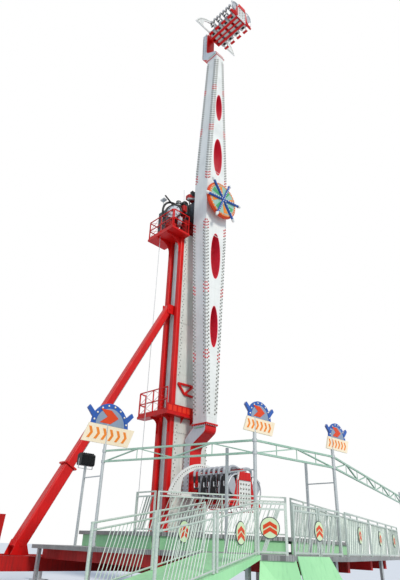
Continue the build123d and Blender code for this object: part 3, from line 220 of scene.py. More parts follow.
def paint_material(name, colour, worn, streak, roughness, chips=0.0):
    """Enamel on steel plate: broad fading, rain streaks down the sides, chips and plate ripple."""
    material, tree, coords = new_material(name)
    # broad fading, about a metre across
    fade = noise(tree, coords, Scale=0.9, Detail=4.0, Roughness=0.6)
    # rain streaks 40 to 80 mm wide and over a metre long
    streaks = noise(tree, mapped(tree, coords, Scale=(14, 14, 0.7)), Scale=1.0, Detail=5.0, Roughness=0.65)
    wear = combined(tree, "ADD", ranged(tree, fade, 0.0, streak, (0.35, 0.7)),
                    ranged(tree, streaks, 0.0, streak, (0.5, 0.78)))
    base = blend(tree, wear, colour, worn)
    if chips:
        # chips through the paint, 10 to 30 mm
        spots = noise(tree, coords, Scale=22.0, Detail=6.0, Roughness=0.7)
        base = blend(tree, ranged(tree, spots, 0.0, 0.8, (0.74 - chips, 0.78 - chips)), base, "6B5A4C")
    # ripple of thin plate between its stiffeners, drawn at 0.6 m
    ripple = noise(tree, coords, Scale=1.7, Detail=1.0, Roughness=0.4)
    return finished(material, tree, {
        "Base Color": base, "Roughness": ranged(tree, streaks, roughness, roughness + 0.18, (0.3, 0.7)),
        "Normal": bumped(tree, ripple, 0.25, 0.02)}, {"IOR": 1.45, "Specular IOR Level": 0.35})


def zinc_material(name, colour, dark, roughness):
    """Hot-dip galvanised steel: spangle grains of 20 to 40 mm, dull and slightly blue."""
    material, tree, coords = new_material(name)
    grains = add_node(tree, "ShaderNodeTexVoronoi", {"Vector": coords}, {"Scale": 32.0}).outputs["Distance"]
    cloud = noise(tree, coords, Scale=3.0, Detail=4.0)
    return finished(material, tree, {
        "Base Color": blend(tree, combined(tree, "MULTIPLY", grains, cloud), colour, dark),
        "Roughness": ranged(tree, cloud, roughness, roughness + 0.2)}, {"Metallic": 0.55})


def tread_material(name):
    """Aluminium five-bar tread plate: raised bars drawn at 60 mm, wider than the real 25 mm."""
    material, tree, coords = new_material(name)
    bars = add_node(tree, "ShaderNodeTexBrick",
                    {"Vector": mapped(tree, coords, Rotation=(0, 0, math.radians(45)))},
                    {"Scale": 8.0, "Mortar Size": 0.04, "Color1": hex_linear("A6A9A8"),
                     "Color2": hex_linear("989C9B"), "Mortar": hex_linear("6F7372")})
    dirt = ranged(tree, noise(tree, coords, Scale=1.4, Detail=6.0), 0.0, 0.6, (0.4, 0.75))
    return finished(material, tree, {
        "Base Color": blend(tree, dirt, bars.outputs["Color"], "5E5B57"),
        "Normal": bumped(tree, bars.outputs["Fac"], 0.5, 0.003)}, {"Metallic": 0.4, "Roughness": 0.5})


def moulded_material(name, colour, dark, roughness, grain=120.0, depth=0.0012):
    """Moulded plastic, rubber or skinned foam: fine leather-like grain, drawn at about 8 mm."""
    material, tree, coords = new_material(name)
    cells = add_node(tree, "ShaderNodeTexVoronoi", {"Vector": coords}, {"Scale": grain},
                     feature="DISTANCE_TO_EDGE").outputs["Distance"]
    cloud = noise(tree, coords, Scale=5.0, Detail=5.0)
    return finished(material, tree, {
        "Base Color": blend(tree, cloud, colour, dark),
        "Roughness": ranged(tree, cloud, roughness - 0.08, roughness + 0.12),
        "Normal": bumped(tree, cells, 0.4, depth)}, {"IOR": 1.48})


def lens_material(name, colour, glow):
    """Clear or tinted polycarbonate lamp cap: glossy, with pale clouds in it."""
    material, tree, coords = new_material(name)
    cloud = noise(tree, coords, Scale=40.0, Detail=2.0)
    return finished(material, tree, {"Base Color": blend(tree, cloud, colour, glow)},
                    {"Roughness": 0.12, "IOR": 1.58, "Coat Weight": 0.6})


# each finish: its maker, the material's name and the maker's other arguments
FINISHES = {
    # white two-pack enamel on box plate, slightly blue, grey rain streaks
    "white": (paint_material, "white_enamel_plate", "EDEEE8", "BEC1BC", 0.3, 0.32),
    # warmer white enamel of the tower column
    "warm_white": (paint_material, "column_white_enamel", "DDDED6", "A8ACA2", 0.4, 0.36),
    # bright red gloss enamel, darker where it has chalked
    "red": (paint_material, "red_enamel_plate", "DA1210", "9A1010", 0.4, 0.3, 0.02),
    # newer orange red sheets of the parapet
    "bright_red": (paint_material, "orange_red_enamel", "F03A20", "C62A1B", 0.35, 0.3),
    # dull red enamel of the trailer, chipped by handling
    "dark_red": (paint_material, "red_chassis_enamel", "BE1714", "6E1412", 0.55, 0.42, 0.05),
    # pinkish red enamel inside the arm's ovals
    "crimson": (paint_material, "crimson_liner_enamel", "F2344C", "C81C34", 0.35, 0.3),
    # pale grey side plates of the legs
    "pale_grey": (paint_material, "pale_grey_plate", "D5D9DC", "A9AEB2", 0.4, 0.35),
    # warm grey enamel of the pans under the seats
    "pan_grey": (paint_material, "grey_pan_enamel", "C9CBC4", "9EA39B", 0.45, 0.36),
    # mint green enamel of the deck's edges
    "mint": (paint_material, "mint_enamel_plate", "A6E2A8", "7DB887", 0.35, 0.35, 0.02),
    # grey machinery enamel over castings
    "machine": (paint_material, "grey_casting_enamel", "565E63", "33383B", 0.6, 0.45, 0.04),
    # black enamel of lamp housings, also used as painted shade under the openings of the seats' pans
    "black": (paint_material, "black_lamp_housing", "1A1C1E", "2C2F31", 0.4, 0.4),
    # bare galvanised steel
    "zinc": (zinc_material, "galvanised_steel_tube", "C3C8C9", "8F9698", 0.42),
    # fences, zinc under thin pale green paint
    "pale_tube": (zinc_material, "pale_green_fence_tube", "CDD6CF", "93AB9D", 0.4),
    # trusses, zinc with green paint worn off in places
    "green_tube": (zinc_material, "worn_green_truss_tube", "B4CCBE", "4F9C78", 0.4),
    # silver coated steel of the restraints' tubes
    "silver": (zinc_material, "silver_coated_tube", "D2D5D7", "A4A8AB", 0.3),
    "tread": (tread_material, "aluminium_tread_plate"),
    # glass fibre seat shell, light grey gel coat
    "shell": (moulded_material, "grey_gel_coat", "B9BCC0", "9EA2A7", 0.38, 60.0, 0.0004),
    # skinned polyurethane foam of pads and shoulder restraints
    "foam": (moulded_material, "black_skinned_foam", "1B1B1D", "28282B", 0.62),
    # rubber hoses and cable sheaths
    "rubber": (moulded_material, "black_rubber_hose", "161617", "242426", 0.55, 200.0, 0.0006),
    # caps and bezels read grey brown against the white plates
    "lens": (lens_material, "smoked_lamp_cap", "7B7A72", "A19E94"),
    "bezel": (moulded_material, "grey_lamp_bezel", "B4B3AC", "94938D", 0.5, 90.0, 0.0004),
    "pale_lens": (lens_material, "clear_lamp_cap", "F1E9D6", "FFFAF0"),
    "red_lens": (lens_material, "red_lamp_cap", "C01218", "D8383C"),
}
# sign writer's enamels of the disc, the signs and the badges: name, colour and worn colour
for key, words, colour, worn in (
        ("orange", "orange", "F08A2C", "C96A1E"), ("green", "green", "4FA86B", "357F4E"),
        ("blue", "blue", "2F5DAE", "24467F"), ("slate", "blue_grey", "8E9DAF", "6C7A8C"),
        ("cream", "cream", "F7E7C9", "D9C39C"), ("rust_orange", "red_orange", "DE4518", "AC3512"),
        ("lime", "pale_lime", "D6E8BE", "B3CB97"), ("teal", "pale_teal", "9CC4B4", "76A390")):
    FINISHES[key] = (paint_material, f"{words}_panel_paint", colour, worn, 0.3, 0.35)
MATERIALS = {}

# the frame's nodes that take each finish
NODE_FINISH = {
    "white": ("arm_box", "cable_tray", "sign_boards"),
    "warm_white": ("tower_column",),
    "crimson": ("oval_liners",),
    "red": ("lower_leg", "upper_leg", "side_posts", "walkway_plates", "walkway_rails", "walkway_brackets",
            "lower_platform_parapet", "strut_upper", "strut_lower", "strut_brackets"),
    "dark_red": ("head_frame", "chassis_frame", "outrigger_beams", "deck_joists"),
    "rust_orange": ("hub_front_disc",),
    "machine": ("hub_bearing_housing", "drive_motors", "arm_turning_flange", "head_cabinet"),
    "zinc": ("hoist_cable", "strut_conduit", "jack_feet", "deck_legs", "light_masts"),
    "tread": ("lower_deck", "upper_deck"),
    "mint": ("upper_deck_fascia", "front_skirt", "entry_ramp"),
    "pale_tube": ("ramp_fences", "fence_front", "fence_upper"),
    "green_tube": ("mast_trusses",),
    "black": ("floodlight",),
}
GONDOLA_FINISH = {
    "red": ("gondola_frame",), "white": ("gondola_arch", "end_panel"), "shell": ("seats",),
    "foam": ("seat_pads",), "silver": ("restraints_left", "restraints_right"),
}


def make_materials():
    """Make every finish."""
    for finish, (maker, *arguments) in FINISHES.items():
        MATERIALS[finish] = maker(*arguments)


def paint_nodes():
    """Put its finish in all material slots of every frame node."""
    pairs = [(name, finish) for finish, names in NODE_FINISH.items() for name in names]
    pairs += [(f"{prefix}_{name}", finish) for prefix, _ in GONDOLAS
              for finish, names in GONDOLA_FINISH.items() for name in names]
    for name, finish in pairs:
        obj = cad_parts[name]
        if not obj.material_slots:
            obj.data.materials.append(MATERIALS[finish])
        for slot in obj.material_slots:
            slot.material = MATERIALS[finish]


# ---------------------------------------------------------------- mesh helpers
def new_piece(name, bm, finishes, body, smooth=False):
    """Make an object from a bmesh, give it its finishes and set it on its body."""
    mesh = bpy.data.meshes.new(name)
    bm.to_mesh(mesh)
    bm.free()
    for finish in finishes:
        mesh.materials.append(MATERIALS[finish])
    for polygon in mesh.polygons:
        polygon.use_smooth = smooth
    obj = bpy.data.objects.new(name, mesh)
    bpy.context.scene.collection.objects.link(obj)
    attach(obj, body)
    return obj


def set_index(verts, index):
    """Give the faces that the given new vertices carry a material index."""
    for vert in verts:
        for face in vert.link_faces:
            face.material_index = index


def join(bm, part):
    """Add another bmesh to bm and free it."""
    mesh = bpy.data.meshes.new("part")
    part.to_mesh(mesh)
    part.free()
    bm.from_mesh(mesh)
    bpy.data.meshes.remove(mesh)


def bevel(bm, edges, offset):
    """Bevel edges in two segments."""
    bmesh.ops.bevel(bm, geom=edges, offset=offset, segments=2, affect="EDGES", profile=0.5, material=-1)


def bevel_sharp(bm):
    """Bevel all edges that turn by more than about 70 degrees."""
    bevel(bm, [edge for edge in bm.edges if edge.calc_face_angle(0) > 1.2], 0.015)


def normals_out(bm):
    """Turn all faces outward."""
    bmesh.ops.recalc_face_normals(bm, faces=bm.faces)


def subdivide(obj):
    """One level of subdivision, the same in view and render."""
    smooth = obj.modifiers.new("round", "SUBSURF")
    smooth.levels = smooth.render_levels = 1


def add_block(bm, low, high, index=0, edge=0.0):
    """Box between two corners with bevelled edges."""
    made = bmesh.ops.create_cube(bm, size=1.0)["verts"]
    bmesh.ops.scale(bm, vec=Vector(high) - Vector(low), verts=made)
    bmesh.ops.translate(bm, vec=(Vector(high) + Vector(low)) / 2, verts=made)
    set_index(made, index)
    if edge:
        bevel(bm, list({edge for vert in made for edge in vert.link_edges}), edge)


def side_block(bm, side, xs, ys, zs, index=0, edge=0.0, middle=0.0):
    """Box between ranges of X, Y and Z, with X measured outward from the middle to one side."""
    x0, x1 = sorted(middle + side * x for x in xs)
    add_block(bm, (x0, ys[0], zs[0]), (x1, ys[1], zs[1]), index, edge)


def add_plate(bm, corners, depth, index=0):
    """Flat plate: a face from its corners, extruded by a vector."""
    face = bm.faces.new([bm.verts.new(corner) for corner in corners])
    moved = bmesh.ops.extrude_face_region(bm, geom=[face])["geom"]
    verts = [item for item in moved if isinstance(item, bmesh.types.BMVert)]
    bmesh.ops.translate(bm, vec=depth, verts=verts)
    set_index(verts, index)


def add_slab(bm, points, y_range, index=0):
    """Upright plate from an outline in X and Z between two Y planes."""
    near, far = y_range
    add_plate(bm, [(x, near, z) for x, z in points], (0, far - near, 0), index)


def add_tube(bm, start, end, radius, segments=12, index=0, end_radius=None):
    """Closed round bar or cone between two points."""
    start, end = Vector(start), Vector(end)
    turn = (end - start).to_track_quat("Z", "Y").to_matrix().to_4x4()
    made = bmesh.ops.create_cone(bm, cap_ends=True, segments=segments, radius1=radius,
                                 radius2=radius if end_radius is None else end_radius,
                                 depth=(end - start).length,
                                 matrix=Matrix.Translation((start + end) / 2) @ turn)["verts"]
    set_index(made, index)


def add_post(bm, foot, height, radius, segments=12, index=0):
    """Upright round bar."""
    add_tube(bm, foot, Vector(foot) + UP * height, radius, segments, index)


def add_rows(bm, add, rows):
    """Call a mesh helper with each row of arguments."""
    for row in rows:
        add(bm, *row)


# a lamp's rings from bezel to dome: radius, height and whether the band above it is bezel
LAMP_RINGS = ((0.046, 0.0, 1), (0.046, 0.014, 1), (0.036, 0.016, 0), (0.032, 0.034, 0), (0.018, 0.044, 0))
LAMP_SIDES = 8


def add_cap(bm, point, direction, scale=1.0, colour=0):
    """Lamp cap: a domed lens on a bezel ring, index colour with the bezel one above."""
    point, direction = Vector(point), Vector(direction).normalized()
    across = direction.orthogonal().normalized()
    up = direction.cross(across)
    rings = []
    for radius, height, _ in LAMP_RINGS:
        ring = []
        for step in range(LAMP_SIDES):
            angle = math.tau * step / LAMP_SIDES
            offset = (across * math.cos(angle) + up * math.sin(angle)) * radius + direction * height
            ring.append(bm.verts.new(point + offset * scale))
        rings.append(ring)
    for low, high, (_, _, bezel) in zip(rings, rings[1:], LAMP_RINGS):
        for step in range(LAMP_SIDES):
            after = (step + 1) % LAMP_SIDES
            face = bm.faces.new((low[step], low[after], high[after], high[step]))
            face.material_index = colour + bezel
    bm.faces.new(rings[-1]).material_index = colour
    bm.faces.new(reversed(rings[0])).material_index = colour + 1


def lamp_line(bm, start, end, direction, pitch, scale=1.0, colour=0):
    """Row of lamp caps at a pitch between two points."""
    start, end = Vector(start), Vector(end)
    count = max(1, round((end - start).length / pitch))
    for step in range(count + 1):
        add_cap(bm, start.lerp(end, step / count), direction, scale, colour)


def zigzag_lamps(bm, start, end, direction, shift, pitch, scale=1.0, colour_at=None):
    """Two rows of lamp caps a shift apart, the second half a pitch on."""
    start, end, shift = Vector(start), Vector(end), Vector(shift)
    count = max(1, round((end - start).length / pitch))
    for step, row in product(range(count), (0, 1)):
        point = start.lerp(end, (step + 0.5 * row) / count) + shift * row
        add_cap(bm, point, direction, scale, colour_at(point) if colour_at else 0)


def hose(name, runs, radius, body, finish="rubber"):
    """Fixed hoses or bent tubes through points, both ends of each run in fittings."""
    curve = bpy.data.curves.new(name, "CURVE")
    curve.dimensions = "3D"
    curve.bevel_depth = radius
    curve.bevel_resolution = 3
    curve.use_fill_caps = True
    for points in runs:
        spline = curve.splines.new("NURBS")
        spline.points.add(len(points) - 1)
        for control, point in zip(spline.points, points):
            control.co = (*point, 1)
        spline.order_u = 3
        spline.use_endpoint_u = True
    obj = bpy.data.objects.new(name, curve)
    bpy.context.scene.collection.objects.link(obj)
    curve.materials.append(MATERIALS[finish])
    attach(obj, body)


def rounded(corners, steps=8):
    """Outline points of a polygon whose corners (y, d, radius) are rounded by arcs."""
    points = []
    count = len(corners)
    for index, (y, d, radius) in enumerate(corners):
        corner = Vector((y, d))
        if not radius:
            points.append(corner)
            continue
        before = (Vector(corners[index - 1][:2]) - corner).normalized()
        after = (Vector(corners[(index + 1) % count][:2]) - corner).normalized()
        half = before.angle(after) / 2
        reach = radius / math.tan(half)
        middle = corner + (before + after).normalized() * (radius / math.sin(half))
        first, last = corner + before * reach - middle, corner + after * reach - middle
        for step in range(steps + 1):
            points.append(middle + first.lerp(last, step / steps).normalized() * radius)
    return points


# ---------------------------------------------------------------- arm and legs
def arm_share(z):
    """Share of the way from the arm's straight middle to its end at height z."""
    return max(0.0, abs(z - HUB_Z) - ARM_STRAIGHT_HALF) / (ARM_HALF_LENGTH - ARM_STRAIGHT_HALF)


def arm_half_width(z):
    """Half width of the arm's front face at height z."""
    return ARM_HALF_WIDTH_HUB + arm_share(z) * (ARM_HALF_WIDTH_END - ARM_HALF_WIDTH_HUB)


def arm_back_y(z):
    """Y of the arm's back face at height z."""
    return ARM_BACK_HUB_Y + arm_share(z) * (ARM_BACK_END_Y - ARM_BACK_HUB_Y)


def arm_lamp_colour(point):
    """Red caps in three short groups on each half of the arm, smoked ones elsewhere."""
    away = abs(point.z - HUB_Z)
    return 2 if any(abs(away - middle) < RED_GROUP_HALF for middle in RED_GROUPS) else 0


def make_arm_lamps(pitch):
    """Double zigzag rows of lamp caps along the arm's long edges, on front and side faces."""
    bm = bmesh.new()
    near, far = RED_GROUPS[0] - RED_GROUP_HALF, ARM_HALF_LENGTH - 0.35
    spans = ((near, ARM_STRAIGHT_HALF), (ARM_STRAIGHT_HALF, far))
    for sign, (first, last), side in product(SIDES, spans, SIDES):
        z0, z1 = HUB_Z + sign * first, HUB_Z + sign * last
        x0, x1 = side * arm_half_width(z0), side * arm_half_width(z1)
        front, inset = ARM_FRONT_Y + LAMP_INSET, side * LAMP_INSET
        for row in (((x0 - inset, ARM_FRONT_Y, z0), (x1 - inset, ARM_FRONT_Y, z1), FRONT,
                     (-side * LAMP_ROW_GAP, 0, 0)),
                    ((x0, front, z0), (x1, front, z1), (side, 0, 0), (0, LAMP_ROW_GAP, 0)),
                    ((x0, arm_back_y(z0) - LAMP_INSET, z0), (x1, arm_back_y(z1) - LAMP_INSET, z1),
                     (side, 0, 0), (0, -LAMP_ROW_GAP, 0))):
            zigzag_lamps(bm, *row, pitch, 1.0, arm_lamp_colour)
    new_piece("arm_lamp_caps", bm, ["lens", "bezel", "red_lens", "red"], "arm", True)


def make_arm_seams():
    """Butt welds across the arm's plates."""
    bm = bmesh.new()
    for away, sign in product((2.2, 5.35, 9.4, 11.9), SIDES):
        z = HUB_Z + sign * away
        low, high = z - 0.012, z + 0.012
        half, back = arm_half_width(z), arm_back_y(z)
        for y0, y1 in ((ARM_FRONT_Y - WELD, ARM_FRONT_Y), (back, back + WELD)):
            add_block(bm, (-half + 0.02, y0, low), (half - 0.02, y1, high))
        for side in SIDES:
            side_block(bm, side, (half, half + WELD), (ARM_FRONT_Y + 0.02, back - 0.02), (low, high))
    new_piece("arm_weld_seams", bm, ["white"], "arm")


def make_leg_plates():
    """Pale side plates of the legs with lamp caps along their edges, and flange bolts."""
    for prefix, sign in (("lower", -1), ("upper", 1)):
        plates, lamps, bolts = bmesh.new(), bmesh.new(), bmesh.new()
        for side in SIDES:
            x = side * LEG_HALF_WIDTH
            add_plate(plates, [(x, y, HUB_Z + sign * d) for y, d in rounded(LEG_OUTLINE)],
                      (side * LEG_PLATE, 0, 0))
            outer = x + side * LEG_PLATE
            for (y0, d0), (y1, d1), pitch, colour in LEG_LAMP_ROWS:
                lamp_line(lamps, (outer, y0, HUB_Z + sign * d0), (outer, y1, HUB_Z + sign * d1),
                          (side, 0, 0), pitch, 0.75, colour)
        normals_out(plates)
        new_piece(f"{prefix}_leg_side_plates", plates, ["pale_grey"], "arm")
        new_piece(f"{prefix}_leg_lamp_caps", lamps, ["lens", "bezel", "green", "bezel"], "arm",
                  True)
        z = HUB_Z + sign * (ARM_HALF_LENGTH + 0.07)
        rim = LEG_HALF_WIDTH + 0.02
        for index in range(7):
            x, y = -0.33 + 0.11 * index, ARM_FRONT_Y + 0.08 + 0.12 * index
            for place in ((x, ARM_FRONT_Y - 0.015), (x, ARM_BACK_END_Y + 0.02), (-rim, y), (rim, y)):
                add_post(bolts, (*place, z), sign * 0.03, 0.02, 6)
        new_piece(f"{prefix}_leg_flange_bolts", bolts, ["zinc"], "arm")


def make_flange_bands():
    """White bands round the flange of the upper leg; the lower leg has none."""
    bands = bmesh.new()
    zs = (HUB_Z + ARM_HALF_LENGTH + 0.002, HUB_Z + ARM_HALF_LENGTH + 0.068)
    edge, thick = LEG_HALF_WIDTH + 0.04, 0.004
    front, back = ARM_FRONT_Y - 0.04, ARM_BACK_END_Y + 0.04
    add_block(bands, (-edge, front - thick, zs[0]), (edge, front, zs[1]), 0, 0.001)
    for side in SIDES:
        side_block(bands, side, (edge, edge + thick), (front, back), zs, 0, 0.001)
    new_piece("upper_leg_flange_bands", bands, ["white"], "arm")


def make_hub_disc():
    """Painted face of the hub disc: a pinwheel in a rim, with three crossed lamp bars."""
    centre = Vector((0, ARM_FRONT_Y - HUB_DISC_OUT, HUB_Z))

    def at(angle, radius):
        """Point of the disc's plane."""
        return centre + Vector((math.cos(angle), 0, math.sin(angle))) * radius

    bm = bmesh.new()
    # rim, field, boss and its cap: radius, thickness and colour
    for radius, depth, index in ((1.02, 0.012, 0), (0.9, 0.018, 1), (0.26, 0.036, 4), (0.17, 0.05, 2)):
        add_plate(bm, [at(math.tau * step / 48, radius) for step in range(48)], (0, -depth, 0), index)
    for index in range(8):
        start = math.tau * index / 8
        add_plate(bm, [at(start, 0.2), at(start + 0.52, 0.86), at(start + 0.1, 0.86)], (0, -0.026, 0),
                  2 + index % 2)
    normals_out(bm)
    new_piece("hub_disc_face", bm, ["orange", "teal", "orange", "green", "cream"], "arm")
    bars, lamps = bmesh.new(), bmesh.new()
    middle = centre + Vector((0, -0.06, 0))
    lamp_middle = middle + Vector((0, -0.068, 0))
    for angle in (8, 68, 128):
        way = at(math.radians(angle), 1.0) - centre
        add_tube(bars, middle - way * 1.2, middle + way * 1.2, 0.07, 10)
        for end in SIDES:
            tip = middle + way * (1.2 * end)
            add_tube(bars, tip, tip + way * (0.18 * end), 0.1, 12, 1, 0.06)
        lamp_line(lamps, lamp_middle - way * 1.15, lamp_middle + way * 1.15, FRONT, 0.16, 0.8)
    for step in range(36):
        add_cap(lamps, at(math.tau * step / 36, 0.96) + Vector((0, -0.012, 0)), FRONT, 0.75)
    new_piece("hub_disc_bars", bars, ["blue", "white"], "arm")
    new_piece("hub_disc_lamp_caps", lamps, ["pale_lens", "blue"], "arm", True)


# ---------------------------------------------------------------- tower
# rows of add_tube and add_block arguments for the machinery round the bearing
HYDRAULIC_TUBES = (
    ((-0.95, -0.42, 18.1), (-0.95, -0.42, 18.75), 0.13, 20, 0),
    ((-1.2, -0.2, 17.35), (-1.2, -0.2, 17.85), 0.11, 20, 1),
    ((-1.2, 0.12, 17.35), (-1.2, 0.12, 17.75), 0.1, 20, 2),
    ((-0.95, -0.52, 19.18), (-0.3, -0.52, 19.5), 0.07, 16, 1),
    ((-1.28, -0.1, 18.6), (-1.28, -0.1, 19.0), 0.14, 24, 0),
    ((-1.28, -0.1, 18.7), (-1.28, -0.1, 18.73), 0.17, 24, 1),
    ((-1.28, -0.1, 18.85), (-1.28, -0.1, 18.88), 0.17, 24, 1),
)
HYDRAULIC_BLOCKS = (
    ((-1.3, -0.1, 17.85), (-0.85, 0.35, 18.05), 0, 0.02),
    ((-1.12, -0.4, 18.78), (-0.78, 0.05, 19.02), 0, 0.03),
    ((-0.86, -0.5, 19.32), (-0.3, -0.2, 19.62), 2, 0.03),
    ((-0.62, -0.5, 19.6), (-0.38, -0.3, 19.98), 0, 0.02),
)
DRUM_TUBES = (
    ((-1.5, 0.0, DRUM_Z), (-1.66, -0.12, DRUM_Z), 0.4, 32, 0),
    ((-1.66, -0.12, DRUM_Z), (-1.72, -0.165, DRUM_Z), 0.28, 32, 0, 0.22),
    ((-1.72, -0.165, DRUM_Z), (-1.75, -0.19, DRUM_Z), 0.07, 16, 1),
    ((-1.2, 0.22, DRUM_Z), (-1.5, 0.0, DRUM_Z), 0.16, 20, 1),
)
DRUM_BLOCKS = (
    ((-1.95, -0.3, 17.02), (-1.5, 0.1, 17.3), 2, 0.02),
    ((-1.6, -0.06, 17.3), (-1.45, 0.06, 17.8), 2, 0.02),
    ((-1.25, -0.55, 18.2), (-1.0, -0.35, 18.6), 2, 0.02),
    ((-1.42, -0.5, 17.35), (-1.25, -0.3, 17.75), 0, 0.02),
)
DRIVE_HOSE = ((-1.95, 0.3, 17.6), (-2.12, 0.25, 18.0), (-2.08, 0.2, 18.5), (-1.85, 0.1, 18.78),
              (-1.5, 0.05, 18.85), (-1.15, 0.1, 18.85), (-0.95, 0.2, 18.8))
RETURN_HOSES = (
    ((-1.95, 0.1, 17.3), (-2.1, 0.0, 17.7), (-2.02, -0.05, 18.2), (-1.7, -0.1, 18.6),
     (-1.35, -0.15, 18.7), (-1.0, -0.2, 18.75)),
    ((-0.95, -0.42, 18.1), (-1.0, -0.5, 17.8), (-1.15, -0.45, 17.6), (-1.25, -0.3, 17.7),
     (-1.2, -0.2, 17.85)),
    ((-0.7, -0.45, 19.3), (-0.9, -0.55, 19.1), (-0.85, -0.6, 18.8), (-0.8, -0.5, 18.4),
     (-0.85, -0.3, 18.05)),
)


def drum_way(angle):
    """Direction across the slip ring drum, whose axis points to the front left."""
    return Vector((0.6 * math.cos(angle), -0.8 * math.cos(angle), math.sin(angle)))


def make_head_details():
    """Motor fins, junction boxes, valve blocks, slip ring drum, hoses and the light pole."""
    bm = bmesh.new()
    for angle in (120, 160, 200):
        x = MOTOR_RING * math.cos(math.radians(angle))
        z = HUB_Z + MOTOR_RING * math.sin(math.radians(angle))
        for index in range(9):
            y = 0.56 + index * 0.05
            add_tube(bm, (x, y, z), (x, y + 0.018, z), 0.172, 20)
        add_tube(bm, (x, 1.03, z), (x, 1.06, z), 0.13, 20, 0, 0.1)
        add_block(bm, (x - 0.07, 0.62, z + 0.14), (x + 0.07, 0.86, z + 0.24), 1, 0.01)
        # bolt ring of the planet gear housing
        for step in range(10):
            turn = math.tau * step / 10
            bolt_x, bolt_z = x + 0.16 * math.cos(turn), z + 0.16 * math.sin(turn)
            add_tube(bm, (bolt_x, 0.18, bolt_z), (bolt_x, 0.2, bolt_z), 0.016, 6, 1)
    new_piece("motor_fins", bm, ["machine", "zinc"], "tower")
    # valve blocks, filter cans and junction boxes round the bearing
    bm = bmesh.new()
    add_rows(bm, add_tube, HYDRAULIC_TUBES)
    add_rows(bm, add_block, HYDRAULIC_BLOCKS)
    new_piece("head_hydraulics", bm, ["black", "zinc", "dark_red"], "tower")
    bm = bmesh.new()
    x, y = -2.05, 0.3
    add_post(bm, (x, y, HIGH_WALKWAY_Z), 2.28, 0.025, 10)
    add_block(bm, (x - 0.12, y - 0.16, 18.86), (x + 0.12, y + 0.16, 18.96), 0, 0.02)
    add_tube(bm, (-1.6, 0.05, 18.72), (-2.2, 0.0, 19.0), 0.045, 10, 1)
    add_tube(bm, (-0.95, -0.2, 19.02), (-1.05, -0.25, 19.9), 0.012, 8)
    new_piece("platform_light_pole", bm, ["zinc", "black"], "tower")
    # shrouded slip ring drum on the platform's corner, seen edge on
    bm = bmesh.new()
    add_rows(bm, add_tube, DRUM_TUBES)
    add_rows(bm, add_block, DRUM_BLOCKS)
    middle = Vector((-1.67, -0.13, DRUM_Z))
    for step in range(8):
        way = drum_way(math.tau * step / 8)
        add_tube(bm, middle + way * 0.26, middle + way * 0.39, 0.012, 6, 1)
    new_piece("slip_ring_drum", bm, ["pale_grey", "black", "dark_red"], "tower")
    middle = Vector((-1.6, -0.08, DRUM_Z))
    ring = [middle + drum_way(math.radians(-60 + 26 * step)) * 0.47 for step in range(12)]
    hose("drive_hoses", [ring, DRIVE_HOSE], 0.06, "tower")
    hose("return_hoses", RETURN_HOSES, 0.035, "tower")


def make_column_details():
    """Lamp lines, weld lines and splice bolts of the tower column."""
    lamps, seams, bolts = bmesh.new(), bmesh.new(), bmesh.new()
    front = COLUMN_FRONT_Y
    for x, z0, z1 in ((-0.87, 8.8, 16.6), (1.07, 2.0, 16.6), (-0.87, 2.0, 6.6)):
        zigzag_lamps(lamps, (x, front, z0), (x, front, z1), FRONT, (0.07, 0, 0), 0.3, 0.7)
    new_piece("column_lamp_caps", lamps, ["lens", "bezel"], "tower", True)
    left, right = COLUMN_X
    weld = 0.006
    for z in (3.6, 8.9, 14.0):
        for y in (front - weld, COLUMN_BACK_Y):
            add_block(seams, (left + 0.03, y, z), (right - 0.03, y + weld, z + 0.02))
        add_block(seams, (right, front + 0.03, z), (right + weld, COLUMN_BACK_Y - 0.03, z + 0.02))
    new_piece("column_weld_seams", seams, ["warm_white"], "tower")
    for z, index in product((6.13, 11.53), range(18)):
        x = left + 0.12 + index * 0.11
        add_tube(bolts, (x, front - 0.012, z), (x, front - 0.03, z), 0.016, 6)
    new_piece("splice_bolts", bolts, ["zinc"], "tower")


def crossed_wires(bm, first, second, low, high):
    """Two crossed wires between places in plan (x, y), from a low to a high Z."""
    for foot, head in ((first, second), (second, first)):
        add_tube(bm, (*foot, low), (*head, high), 0.009, 6)


def make_walkway_dressing():
    """Diagonal wires and kick plates of the guard rails, and the parapet's infill sheets."""
    wires, sheets = bmesh.new(), bmesh.new()
    # heights of the bays between kick plate, knee rail and hand rail
    bays = ((0.06, 0.55), (0.55, 1.1))
    for floor, x, ys in ((HIGH_WALKWAY_Z, -2.14, (-0.75, 0.23, 1.21)),
                         (LOW_WALKWAY_Z, -1.65, (-0.66, 0.36, 1.37))):
        for (y0, y1), (low, high) in product(zip(ys, ys[1:]), bays):
            crossed_wires(wires, (x, y0), (x, y1), floor + low, floor + high)
        add_block(wires, (x - 0.005, ys[0] - 0.03, floor), (x + 0.005, ys[-1] + 0.03, floor + 0.12))
    for low, high in bays:
        crossed_wires(wires, (-2.1, -0.8), (-1.05, -0.8), HIGH_WALKWAY_Z + low, HIGH_WALKWAY_Z + high)
    new_piece("walkway_rail_wires", wires, ["red"], "tower")
    for index in range(10):
        x = -1.62 + index * 0.286
        add_block(sheets, (x + 0.03, -0.732, 6.96), (x + 0.25, -0.722, 7.22), 0, 0.003)
    new_piece("parapet_infill_sheets", sheets, ["bright_red"], "tower")


